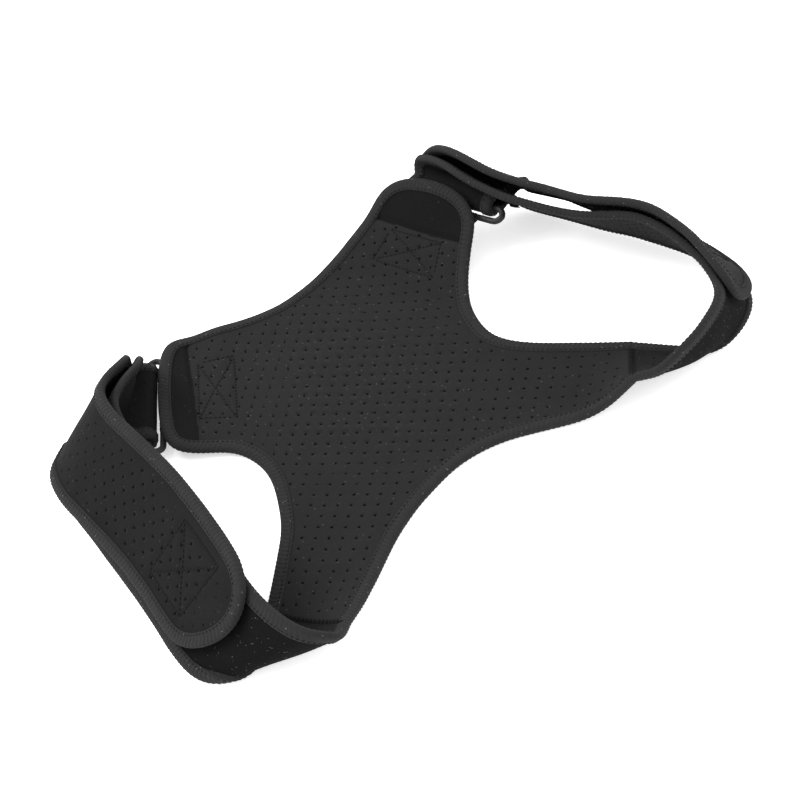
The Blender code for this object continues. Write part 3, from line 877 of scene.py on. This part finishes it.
def knit_group() -> bpy.types.NodeTree:
    """The group that gives the height and the shade of a fine knit from flat coordinates."""
    group = bpy.data.node_groups.new("fine knit", "ShaderNodeTree")
    for name, kind in (("Spot", "Vector"), ("Loops per metre", "Float"), ("Fuzz", "Float")):
        group.interface.new_socket(name=name, in_out="INPUT", socket_type=f"NodeSocket{kind}")
    for name in ("Height", "Shade", "Specks"):
        group.interface.new_socket(name=name, in_out="OUTPUT", socket_type="NodeSocketFloat")
    make = Sockets(group)
    inlet = group.nodes.new("NodeGroupInput")
    outlet = group.nodes.new("NodeGroupOutput")
    spot, loops, fuzz = inlet.outputs[0], inlet.outputs[1], inlet.outputs[2]
    split = make.add("ShaderNodeSeparateXYZ", Vector=spot)
    turns = make.sum("MULTIPLY", loops, 2 * math.pi)
    across = make.sum("SINE", make.sum("MULTIPLY", split.outputs[0], turns), 0.0)
    slant = make.sum("MULTIPLY", across, 0.9)
    along = make.sum("SINE", make.sum("ADD", make.sum("MULTIPLY", split.outputs[1], turns), slant), 0.0)
    loop = make.sum("MULTIPLY", make.sum("ADD", make.sum("MULTIPLY", across, along), 1.0), 0.5)
    fine = make.add("ShaderNodeTexNoise", Vector=spot, Scale=2600.0, Detail=2.0, Roughness=0.6)
    patch = make.add("ShaderNodeTexNoise", Vector=spot, Scale=60.0, Detail=3.0, Roughness=0.6)
    rough = make.sum("MULTIPLY", fine.outputs[0], fuzz)
    height = make.sum("ADD", make.sum("MULTIPLY", loop, make.sum("SUBTRACT", 1.0, fuzz)), rough)
    grain = make.add("ShaderNodeTexNoise", Vector=spot, Scale=800.0, Detail=3.0, Roughness=0.75)
    mottle = make.sum("MULTIPLY_ADD", make.sum("SUBTRACT", grain.outputs[0], 0.5), 2.2, 0.5)
    shade = make.sum("ADD", make.sum("MULTIPLY", height, 0.25), make.sum("MULTIPLY", patch.outputs[0], 0.35))
    shade = make.sum("ADD", shade, make.sum("MULTIPLY", mottle, 0.4))
    cells = make.add("ShaderNodeTexVoronoi", Vector=spot, Scale=330.0)
    dot = make.sum("LESS_THAN", cells.outputs["Distance"], 0.11)
    chosen = make.add("ShaderNodeSeparateXYZ", Vector=cells.outputs["Color"])
    specks = make.sum("MULTIPLY", dot, make.sum("GREATER_THAN", chosen.outputs[0], 0.72))
    for socket, value in zip(outlet.inputs, (height, shade, specks)):
        make.feed(socket, value)
    return group


@dataclass(frozen=True)
class ClothFinish:
    """A finish of fabric: its tones, knit and nap; some finishes are darker copies whose tones are painted
    shade.
    """

    name: str
    dark: tuple[float, float, float]
    light: tuple[float, float, float]
    loops: float
    fuzz: float
    bump: float
    rough: float = 0.92
    sheen: float = 0.02
    shine: float = 0.10
    specks: float = 5.0  # how much lighter the specks of lint are
    nap: float = 0.6  # roughness of the sheen

    def material(self, knit: bpy.types.NodeTree) -> Material:
        """The material, with the knit's group placed in it."""
        material, make, shader = new_material(self.name)
        group = material.node_tree.nodes.new("ShaderNodeGroup")
        group.node_tree = knit
        make.feed(group.inputs["Spot"], make.add("ShaderNodeTexCoord").outputs["UV"])
        make.feed(group.inputs["Loops per metre"], self.loops)
        make.feed(group.inputs["Fuzz"], self.fuzz)
        tone = make.mix(group.outputs["Shade"], (*self.dark, 1), (*self.light, 1))
        dusty = make.mix(group.outputs["Specks"], tone, (*(value * self.specks for value in self.light), 1))
        height = group.outputs["Height"]
        bump = make.add("ShaderNodeBump", Strength=self.bump, Distance=0.0003, Height=height)
        for name, value in (("Base Color", dusty), ("Normal", bump.outputs[0]), ("Roughness", self.rough),
                            ("Sheen Weight", self.sheen), ("Sheen Roughness", self.nap),
                            ("Specular IOR Level", self.shine)):
            make.feed(shader.inputs[name], value)
        return material


@dataclass(frozen=True)
class PlasticFinish:
    """A finish of moulded black plastic with fine scuffs."""

    name: str = "moulded plastic"
    dark: tuple[float, float, float] = (0.008, 0.008, 0.009)
    light: tuple[float, float, float] = (0.022, 0.022, 0.024)
    rough: float = 0.5
    shine: float = 0.25

    def material(self) -> Material:
        """The material."""
        material, make, shader = new_material(self.name)
        spot = make.add("ShaderNodeTexCoord").outputs["Object"]
        scuff = make.add("ShaderNodeTexNoise", Vector=spot, Scale=420.0, Detail=4.0, Roughness=0.7)
        cloud = make.add("ShaderNodeTexNoise", Vector=spot, Scale=70.0, Detail=2.0)
        tone = make.mix(cloud.outputs[0], (*self.dark, 1), (*self.light, 1))
        rough = make.sum("ADD", make.sum("MULTIPLY", scuff.outputs[0], 0.25), self.rough - 0.1)
        bump = make.add("ShaderNodeBump", Strength=0.15, Distance=0.0001, Height=scuff.outputs[0])
        for name, value in (("Base Color", tone), ("Roughness", rough), ("Normal", bump.outputs[0]),
                            ("Specular IOR Level", self.shine)):
            make.feed(shader.inputs[name], value)
        return material


@dataclass
class Finishes:
    """All the finishes of the corrector, as materials."""

    perforated: Material
    # a darker copy of the perforated fabric: painted shade
    strap: Material
    # a darker copy of the perforated fabric: painted shade
    lip: Material
    looped: Material
    # near black: painted shade inside the holes
    hole: Material
    tape: Material
    thread: Material
    webbing: Material
    plastic: Material
    hooks: Material
    lint: Material

    @classmethod
    def made(cls) -> "Finishes":
        """Builds every material once."""
        knit = knit_group()
        cloths = (
            ClothFinish("perforated fabric", (0.0040, 0.0039, 0.0042), (0.0150, 0.0147, 0.0155), 900.0, 0.45,
                        1.0),
            # painted shade: a darker copy of the perforated fabric for the straps' perforated face, standing
            # for the shade on the straps
            ClothFinish("strap fabric painted shade", (0.0018, 0.0018, 0.0019), (0.0090, 0.0088, 0.0093), 900.0, 0.45, 1.0,
                        shine=0.05),
            # painted shade: a darker copy of the perforated fabric for the turned-up lips past the creases,
            # standing for the shade that falls on them
            ClothFinish("lip fabric painted shade", (0.0012, 0.0012, 0.0013), (0.0065, 0.0064, 0.0067), 900.0, 0.45, 1.0,
                        shine=0.05),
            ClothFinish("looped fabric", (0.0012, 0.0012, 0.0013), (0.0080, 0.0079, 0.0083), 700.0, 0.85, 1.0,
                        sheen=0.004, specks=9.0, shine=0.03),
            # painted shade: near black for the walls and floors of the shallow holes, standing for the shade
            # inside a punched hole
            ClothFinish("punched hole", (0.0008, 0.0008, 0.0008), (0.002, 0.002, 0.002), 900.0, 0.6, 0.3,
                        sheen=0.0),
            ClothFinish("edge tape", (0.0080, 0.0078, 0.0082), (0.0230, 0.0225, 0.0236), 1300.0, 0.3, 0.8),
            ClothFinish("sewing thread", (0.0030, 0.0030, 0.0031), (0.0090, 0.0090, 0.0093), 2500.0, 0.3, 0.3),
            ClothFinish("webbing", (0.0025, 0.0025, 0.0026), (0.0100, 0.0100, 0.0103), 600.0, 0.25, 1.0),
            ClothFinish("hook tape", (0.004, 0.004, 0.0042), (0.012, 0.012, 0.0125), 600.0, 0.3, 0.6,
                        rough=0.6),
            ClothFinish("lint", (0.07, 0.07, 0.072), (0.16, 0.16, 0.165), 900.0, 0.5, 0.1),
        )
        *fabrics, hooks, lint = (finish.material(knit) for finish in cloths)
        return cls(*fabrics, PlasticFinish().material(), hooks, lint)


class Panel:
    """The back panel with its four arms, its bindings and its stitching."""

    LIP_LEFT = (0.19, 0.055, 0.62)
    LIP_RIGHT = (0.24, 0.07, 0.80)
    OVERLAP = 0.9  # how far the hip arms' last sections are moved out, as a share of the seam
    NECK_FROM = 0.90  # the tape is smooth past this height, as a share of REACH
    BOX_ALONG = (0.004, 0.027)  # the crossed box starts and ends this far in from the crease
    BOX_ACROSS = (0.26, 0.74)  # and covers this part of the arm's width
    ROW_IN, ROW_UP, ROW_STEP = 0.0052, 0.00222, 3  # the row of stitches along the tape

    def __init__(self, finishes: Finishes) -> None:
        """Works out the surface of the panel."""
        self.finishes = finishes
        self.left = lip(arm(NECK, LEFT, SHOULDER_LEFT, SHOULDER_RIGHT, HIP_LEFT), *self.LIP_LEFT)
        self.right = lip(arm(NECK, RIGHT, SHOULDER_RIGHT, SHOULDER_LEFT, HIP_RIGHT), *self.LIP_RIGHT)
        self.hip_left = self.longer(arm(FOOT, LEFT, HIP_LEFT, HIP_RIGHT, SHOULDER_LEFT))
        self.hip_right = self.longer(arm(FOOT, RIGHT, HIP_RIGHT, HIP_LEFT, SHOULDER_RIGHT))
        centre = middle(self.left[0], self.right[0], self.hip_left[0], self.hip_right[0])
        arms = [self.left, self.right, self.hip_left, self.hip_right]
        grids = [centre, *(self.sparser(grid, CAP_STEPS) for grid in arms[:2])]
        grids += [self.sparser(grid, 0) for grid in arms[2:]]
        flats = [centre[..., :2], *(unrolled(grid) for grid in grids[1:])]
        self.cloth = Cloth(grids, flats, [looks_down(grid) for grid in grids], wave=0.0005)
        for grid in (self.left, self.right):
            before, last = grid[-2 - CAP_STEPS:-CAP_STEPS]
            self.cloth.crease(last[0], last[-1], (last - before).mean(axis=0))
        for grid in (self.left, self.right):
            for line in self.crossed_box(grid):
                self.cloth.pull_in(line)

    @staticmethod
    def sparser(grid: Array, kept: int) -> Array:
        """Every other section of an arm, with all of its last rows that are kept."""
        body = len(grid) - kept
        return np.vstack([grid[:body:2], grid[body:]])

    def longer(self, grid: Array) -> Array:
        """The grid of a hip arm with its last row moved out to meet the strap."""
        grid = grid.copy()
        grid[-1] += unit((grid[-1] - grid[-2]).mean(axis=0)) * SEAM * self.OVERLAP
        return grid

    def fabric(self) -> Object:
        """The perforated foam."""
        f = self.finishes
        # the holes' walls and the lips past the creases take materials with painted shade
        return Foam(self.cloth).build("panel_fabric", [f.perforated, f.perforated, f.hole, f.lip])

    def bindings(self) -> list[Object]:
        """The tapes of the upper and the lower edge."""
        upper, lower = self.cloth.rim_paths()[:2]
        heights = self.cloth.points[upper][:, 1]
        weave = [Weave.SMOOTH if height > self.NECK_FROM * REACH else Weave.LADDER for height in heights]
        f = self.finishes
        return [
            Tape().build("panel_trim_upper", self.cloth, upper, f.tape, True, weave),
            Tape().build("panel_trim_lower", self.cloth, lower, f.tape, True),
        ]

    def arm_place(self, grid: Array, inward: float, share: float) -> Array:
        """The place this far in from the crease of a shoulder arm and at this share of its width."""
        rows = grid[:len(grid) - CAP_STEPS][::-1]
        widths = panel_columns(float(np.linalg.norm(rows[0, 0] - rows[0, -1])))
        line = np.array([sampled(share, widths, row) for row in rows])
        return sampled(inward, distances(line), line)

    def crossed_box(self, grid: Array) -> list[list[Array]]:
        """The lines of the box with a cross that holds the tab of a shoulder arm."""
        (start, end), (low, high) = self.BOX_ALONG, self.BOX_ACROSS
        corners = ((start, low), (start, high), (end, high), (end, low), (start, low))
        return crossed([self.arm_place(grid, inward, share) for inward, share in corners])

    def stitches(self) -> Object:
        """The crossed boxes that hold the tabs, and the row along the inner edge of each binding."""
        thread = Thread()
        for grid in (self.left, self.right):
            for lift in (SEWN, -SEWN):
                for line in self.crossed_box(grid):
                    thread.across(self.cloth, line, lift)
        for path in self.cloth.rim_paths()[:2]:
            at, _, out, _ = Tape().line(self.cloth, path)
            inner = at - out * self.ROW_IN
            found = [self.cloth.on(point, self.ROW_UP) for point in inner[::self.ROW_STEP]]
            thread.run(np.array([place for place, _ in found]), np.array([way for _, way in found]))
        return thread.build("panel_stitching", self.finishes.thread)


class Side(Enum):
    """The two sides of the corrector."""

    LEFT = "left"
    RIGHT = "right"


@dataclass
class Strap:
    """One strap with its ring, tab, hook patch and trim."""

    side: Side
    panel: Panel
    table: Table
    back: Table
    tip: float
    tilt: float
    dip: float

    UNDER = 0.4  # how far the first section is moved back, as a share of the seam
    TURN_STEPS = 6
    ROUNDS = 4  # times that the start of the returning layer is smoothed
    ROUNDED = 11  # how many of its rows are smoothed
    PATCH = 0.042  # length of the hook patch
    PATCH_ACROSS = (0.2, 0.8)  # the part of the width that it covers
    HOOKS = (15, 9)  # rows and columns of the hook patch's grid
    ROW_IN, ROW_UP, ROW_STEP = 0.0053, 0.00225, 3  # the row of stitches along the tape
    ZIGZAG = (0.007, 0.0016, HALF + 0.0002)  # width, pitch and height of the seam's thread
    TAB_WIDTH = 0.046
    TAB_ROWS = 3  # sections of the arm that the tab is sewn under
    RIB, RIB_PITCH = 0.00012, 0.0016
    LEG_STEPS, CORNER_STEPS, BAR_SIDES = 3, 8, 20  # fineness of the ring

    def __post_init__(self) -> None:
        """Works out the sections of the first layer and the surface of both layers."""
        panel, left = self.panel, self.side is Side.LEFT
        self.arm_grid, hip = (panel.left, panel.hip_left) if left else (panel.right, panel.hip_right)
        first = np.concatenate([hip[-1][-1], hip[-1][0], [self.dip * REACH]])
        shift = unit((hip[-1] - hip[-2]).mean(axis=0)) * SEAM * self.UNDER
        first[:3] -= shift
        first[3:6] -= shift
        rows = smoothed(np.vstack([first, np.array(self.table) * REACH]), STEPS)
        self.low, across, self.bulge = rows[:, :3], rows[:, 3:6] - rows[:, :3], rows[:, 6]
        width = np.full(len(rows), STRAP_WIDTH)
        width[: STEPS + 1] = np.linspace(np.linalg.norm(across[0]), STRAP_WIDTH, STEPS + 1)
        self.high = self.low + unit(across) * width[:, None]
        middles = (self.low + self.high) / 2
        self.stations = distances(middles)
        self.travel = unit(np.gradient(middles, axis=0))
        self.out = unit(np.cross(across, self.travel)) * (1 if left else -1)
        self.axis = unit(self.high[-1] - self.low[-1])
        self.fall = self.out[-1]
        self.ahead = unit(np.cross(self.fall, self.axis))
        self.ahead = self.ahead * np.sign(self.ahead @ self.travel[-1])
        self.bar = (self.low[-1] + self.high[-1]) / 2 + self.fall * TURN
        level = unit(self.ahead * [1, 1, 0])
        self.toward = level * math.cos(self.tilt) - np.array([0, 0, math.sin(self.tilt)])
        grid, flat = self.grid()
        self.cloth = Cloth([grid], [flat], [self.side is Side.RIGHT], wave=0.0004)
        for line in crossed(self.patch_corners()):
            self.cloth.pull_in(line)

    def places(self, stations: Array, shares: Array, distance: Array) -> Array:
        """Points at these stations and shares of the width, this far out."""
        known = (self.low, self.high, self.out)
        low, high, out = (sampled(stations, self.stations, values) for values in known)
        bulge = np.interp(stations, self.stations, self.bulge)
        hump = bulge * np.clip(4 * shares * (1 - shares), 0, None)
        return low + (high - low) * shares[..., None] + unit(out) * (hump + distance)[..., None]

    def grid(self) -> tuple[Array, Array]:
        """Both layers, out to the ring, round its bar and back to the tip, and their flat coordinates."""
        columns = np.array(STRAP_COLUMNS)
        full = np.broadcast_to(self.stations[:, None], (len(self.stations), len(columns)))
        first = self.places(full, np.broadcast_to(columns, full.shape), np.zeros(full.shape))
        first_flat = np.stack([np.broadcast_to(columns, full.shape) * STRAP_WIDTH, full], axis=-1)
        turn, turn_flat = [], []
        length = self.stations[-1]
        for angle in np.linspace(0, math.pi, self.TURN_STEPS + 1)[1:]:
            turn.append(first[-1] + self.ahead * TURN * math.sin(angle)
                        + self.fall * TURN * (1 - math.cos(angle)))
            run = np.full(len(columns), length + TURN * angle)
            turn_flat.append(np.stack([columns * STRAP_WIDTH, run], axis=-1))
        shares, outs, shifts = np.array(self.back).T
        base = length * (1 - self.tip)
        side = 1 - 2 * columns
        alongs, places = [], []
        for station in [s for s in self.stations[-2::-1] if s > base + TAPE_WIDTH] + [base]:
            alongs.append(np.full(len(columns), station))
            places.append(columns)
        for cosine, sine in quarter_turn(self.TURN_STEPS):
            alongs.append(base - STRAP_WIDTH / 2 * np.abs(side) * sine)
            places.append(0.5 - side * cosine / 2)
        alongs, places = np.array(alongs), np.array(places)
        share = 1 - alongs / length
        distance = np.interp(share, shares, outs) * REACH
        shift = np.interp(share, shares, shifts) * REACH / STRAP_WIDTH
        back = self.places(alongs, places + shift, distance)
        count = self.ROUNDED
        for _ in range(self.ROUNDS):
            back[1:count + 1] = back[1:count + 1] / 2 + (back[:count] + back[2:count + 2]) / 4
        back_flat = np.stack([places * STRAP_WIDTH, length + math.pi * TURN + length - alongs], axis=-1)
        return np.vstack([first, turn, back]), np.vstack([first_flat, turn_flat, back_flat])

    def fabric(self) -> Object:
        """The foam, punched on its perforated face and looped on the other."""
        f = self.panel.finishes
        # the perforated face takes a darker copy of the panel's fabric, and the holes a near-black one: painted
        # shade
        return Foam(self.cloth, low_holes=False).build(f"strap_fabric_{self.side.value}",
                                                       [f.strap, f.looped, f.hole])

    def trim(self) -> Object:
        """The tape along both edges and round the tip."""
        path = self.cloth.rim_paths()[0]
        return Tape().build(f"strap_trim_{self.side.value}", self.cloth, path, self.panel.finishes.tape, False)

    def patch_corners(self) -> list[Array]:
        """The corners of the hook patch on the returning layer."""
        base = self.stations[-1] * (1 - self.tip)
        _, distance, shift = np.array(self.back[-1]) * REACH
        near, far = self.PATCH_ACROSS
        corners = ((0.0, near), (0.0, far), (self.PATCH, far), (self.PATCH, near), (0.0, near))
        alongs, shares = np.array(corners).T
        return list(self.places(base + alongs, shares + shift / STRAP_WIDTH, np.full(len(corners), distance)))

    def stitches(self) -> Object:
        """The seam at the hip, the row along the trim and the outline of the hook patch."""
        thread = Thread()
        seam = self.cloth.rim_paths()[1]
        line = self.cloth.points[seam]
        travel = np.tile(self.travel[0], (len(seam), 1))
        thread.zigzag(self.panel.cloth, line, -travel, *self.ZIGZAG)
        for line in crossed(self.patch_corners()):
            thread.across(self.cloth, line, SEWN)
        at, up, edge_out, _ = Tape().line(self.cloth, self.cloth.rim_paths()[0])
        for way in (1, -1):
            row = at - edge_out * self.ROW_IN + up * way * self.ROW_UP
            thread.run(row[::self.ROW_STEP], (up * way)[::self.ROW_STEP])
        return thread.build(f"strap_stitching_{self.side.value}", self.panel.finishes.thread)

    def tab(self) -> Object:
        """Webbing from under the arm, round the ring's bar and back under."""
        bar = self.bar + self.toward * RING_WIDTH
        crease = len(self.arm_grid) - CAP_STEPS
        rows = self.arm_grid[crease - self.TAB_ROWS: crease]
        middles = (rows[:, MIDDLES[0]] + rows[:, MIDDLES[1]]) / 2
        normals = unit(np.cross(self.axis, np.gradient(middles, axis=0)))
        normals = normals * np.sign(normals[:, 2:])
        upper = middles - normals * (HALF + CLEARANCE + TAB / 2)
        lower = upper - normals * (TAB + CLEARANCE)
        reach = bar - upper[-1]
        reach = unit(reach - self.axis * (self.axis @ reach))
        rise = unit(np.cross(self.axis, reach))
        rise = rise * np.sign(rise[2])
        radius = BAR / 2 + CLEARANCE + TAB / 2
        loop = [bar + radius * (rise * math.sin(a) + reach * math.cos(a))
                for a in np.linspace(math.pi / 2, -math.pi / 2, 8)]
        path = np.array([*upper, *loop, *lower[::-1]])
        shares = np.linspace(-0.5, 0.5, 7)
        grid = np.stack([path + self.axis * self.TAB_WIDTH * share for share in shares], axis=1)
        run = distances(path)[:, None]
        flat = np.stack(np.broadcast_arrays(shares[None, :] * self.TAB_WIDTH, run), axis=-1)
        cloth = Cloth([grid], [flat], [False])
        f = self.panel.finishes
        foam = Foam(cloth, half=TAB / 2, pinch=0.3)
        ribs = self.RIB * np.sin(cloth.spots[:, 0] / self.RIB_PITCH * 2 * math.pi)
        cloth.points = cloth.points + cloth.normals * ribs[:, None]
        cloth.rim[:] = np.minimum(cloth.rim, TAPE_WIDTH)  # so near its edge that no hole is punched
        return foam.build(f"tab_webbing_{self.side.value}", [f.webbing, f.webbing, f.webbing])

    def ring(self) -> Object:
        """The loop of round bar, swept from one circle along the four sides and round the four corners."""
        half_long, half_wide, corner = RING_LENGTH / 2, RING_WIDTH / 2, RING_CORNER
        bpy.ops.object.select_all(action="DESELECT")
        bpy.ops.mesh.primitive_circle_add(vertices=self.BAR_SIDES, radius=BAR / 2,
                                          location=(half_long, corner - half_wide, 0),
                                          rotation=(math.pi / 2, 0, 0))
        obj = bpy.context.active_object
        obj.name = f"ring_loop_{self.side.value}"
        bpy.ops.object.transform_apply(location=True, rotation=True, scale=True)
        bpy.ops.object.mode_set(mode="EDIT")
        bpy.ops.mesh.select_all(action="SELECT")
        long_side, wide_side = 2 * (half_long - corner), 2 * (half_wide - corner)
        legs = ((0, wide_side, 1, 1), (-long_side, 0, -1, 1), (0, -wide_side, -1, -1), (long_side, 0, 1, -1))
        for along, over, end_x, end_y in legs:
            step = (along / self.LEG_STEPS, over / self.LEG_STEPS, 0)
            for _ in range(self.LEG_STEPS):
                bpy.ops.mesh.extrude_region_move(TRANSFORM_OT_translate={"value": step})
            centre = (end_x * (half_long - corner), end_y * (half_wide - corner), 0)
            bpy.ops.mesh.spin(steps=self.CORNER_STEPS, angle=math.pi / 2, center=centre, axis=(0, 0, 1),
                              use_auto_merge=False)
        bpy.ops.mesh.select_all(action="SELECT")
        bpy.ops.mesh.remove_doubles(threshold=0.00002)
        bpy.ops.mesh.normals_make_consistent(inside=False)
        bpy.ops.object.mode_set(mode="OBJECT")
        spot = self.bar + self.toward * RING_WIDTH / 2 + PLACE
        ways = (self.axis, self.toward, np.cross(self.axis, self.toward))
        obj.data.transform(Matrix.Translation(spot) @ Matrix(ways).transposed().to_4x4())
        if np.linalg.det(np.array(ways)) < 0:
            edited(obj, bpy.ops.mesh.normals_make_consistent, inside=False)
        obj.data.materials.append(self.panel.finishes.plastic)
        bpy.ops.object.shade_smooth()
        LOG.info("%s: %d faces", obj.name, len(obj.data.polygons))
        return obj

    def hooks(self) -> Object:
        """The hook patch between the two layers, with its rows of small hooks."""
        base = self.stations[-1] * (1 - self.tip)
        shift = self.back[-1][2] * REACH / STRAP_WIDTH / 2
        shape = self.HOOKS
        rows = np.linspace(base, base + self.PATCH, shape[0])
        shares = np.linspace(*self.PATCH_ACROSS, shape[1])
        alongs = np.broadcast_to(rows[:, None], shape)
        grid = self.places(alongs, np.broadcast_to(shares + shift, shape), np.full(shape, LAYER / 2))
        flat = np.stack(np.broadcast_arrays(shares[None, :] * STRAP_WIDTH, rows[:, None]), axis=-1)
        cloth = Cloth([grid], [flat], [False])
        f = self.panel.finishes
        foam = Foam(cloth, half=0.00035, pitch=1.0, pinch=0.2)  # a pitch so wide leaves it without holes
        return foam.build(f"hook_patch_{self.side.value}", [f.hooks, f.hooks, f.hooks])

    def lint(self) -> Object:
        """Short fibres that cling to the looped face."""
        rng = np.random.default_rng(5 if self.side is Side.LEFT else 6)
        thread = Thread(thick=0.00006, long=0.002)
        count = 1100
        for v in rng.choice(len(self.cloth.points), count):
            if self.cloth.rim[v] < TAPE_WIDTH:
                continue
            normal = -self.cloth.normals[v]
            start = self.cloth.points[v] + normal * (HALF + 0.0001)
            way = rng.normal(size=3)
            way = unit(way - normal * (way @ normal) * 0.8)
            thread.bead(start, start + way * rng.uniform(0.0005, 0.0014), normal)
        return thread.build(f"lint_{self.side.value}", self.panel.finishes.lint)


class Studio:
    """Floor, lights and camera."""

    EYE = (-0.2926, -0.7244, 0.7301)
    RIGHT_WAY = (0.8025, -0.5510, -0.2289)
    UP_WAY = (0.5313, 0.4853, 0.6944)
    AHEAD_WAY = (0.2715, 0.6789, -0.6822)
    LENS = 81.0

    def floor(self) -> Object:
        """A pale floor, large enough to fill the view."""
        bpy.ops.object.select_all(action="DESELECT")
        bpy.ops.mesh.primitive_plane_add(size=12, location=(0, 0, 0))
        floor = bpy.context.active_object
        floor.name = "floor"
        material = bpy.data.materials.new("pale floor")
        material.use_nodes = True
        shader = material.node_tree.nodes["Principled BSDF"]
        shader.inputs["Base Color"].default_value = (0.93, 0.93, 0.93, 1)
        shader.inputs["Roughness"].default_value = 0.9
        shader.inputs["Specular IOR Level"].default_value = 0.1
        shader.inputs["Emission Color"].default_value = (1, 1, 1, 1)
        shader.inputs["Emission Strength"].default_value = 0.55
        floor.data.materials.append(material)
        return floor

    def lamp(self, name: str, place: tuple, power: float, size: float) -> None:
        """One soft lamp that looks at the middle of the corrector."""
        data = bpy.data.lights.new(name, "AREA")
        data.energy = power
        data.size = size
        lamp = bpy.data.objects.new(name, data)
        lamp.location = place
        lamp.rotation_euler = (Vector((0, 0, 0.02)) - Vector(place)).to_track_quat("-Z", "Y").to_euler()
        bpy.context.scene.collection.objects.link(lamp)

    def build(self) -> None:
        """Sets up the studio."""
        self.floor()
        self.lamp("key", (-0.9, 0.9, 1.6), 42, 1.0)
        self.lamp("fill", (0.9, -1.1, 1.3), 12, 1.6)
        world = bpy.data.worlds.new("studio")
        world.use_nodes = True
        world.node_tree.nodes["Background"].inputs[0].default_value = (1, 1, 1, 1)
        world.node_tree.nodes["Background"].inputs[1].default_value = 1.35
        bpy.context.scene.world = world
        data = bpy.data.cameras.new("camera")
        data.lens = self.LENS
        data.sensor_width = 36
        data.clip_start = 0.01
        camera = bpy.data.objects.new("camera", data)
        ways = Matrix((self.RIGHT_WAY, self.UP_WAY, [-value for value in self.AHEAD_WAY])).transposed()
        camera.matrix_world = Matrix.Translation(self.EYE) @ ways.to_4x4()
        bpy.context.scene.collection.objects.link(camera)
        bpy.context.scene.camera = camera
        bpy.context.scene.view_settings.view_transform = "Standard"


def dress(piece: Object, nodes: tuple[str, ...] = ()) -> Object:
    """Rides a piece on the body and hides the nodes that it stands for."""
    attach(piece, "root")
    if nodes:
        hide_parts(*nodes)
    return piece


def main() -> None:
    """Builds the corrector piece by piece, then the studio."""
    logging.basicConfig(level=logging.INFO, format="%(message)s")
    finishes = Finishes.made()
    panel = Panel(finishes)
    fabric = dress(panel.fabric(), ("back_panel",))
    upper, lower = panel.bindings()
    dress(upper, ("panel_binding_upper",))
    dress(lower, ("panel_binding_lower",))
    sewing = dress(panel.stitches())
    straps = (
        Strap(Side.LEFT, panel, STRAP_LEFT, RETURN_LEFT, 0.69, math.radians(14), HIP_LEFT[-1][-1]),
        Strap(Side.RIGHT, panel, STRAP_RIGHT, RETURN_RIGHT, 0.65, math.radians(26), HIP_RIGHT[-1][-1]),
    )
    for strap in straps:
        side = strap.side.value
        band = dress(strap.fabric(), (f"strap_{side}",))
        trim = dress(strap.trim(),
                     (f"strap_binding_{side}", f"strap_edge_low_{side}", f"strap_edge_high_{side}"))
        sewing = dress(strap.stitches())
        lint = dress(strap.lint())
        dress(strap.ring(), (f"ring_{side}",))
        dress(strap.tab(), (f"ring_tab_{side}",))
        dress(strap.hooks(), (f"hook_pad_{side}",))
    Studio().build()


if __name__ == "__main__":
    main()
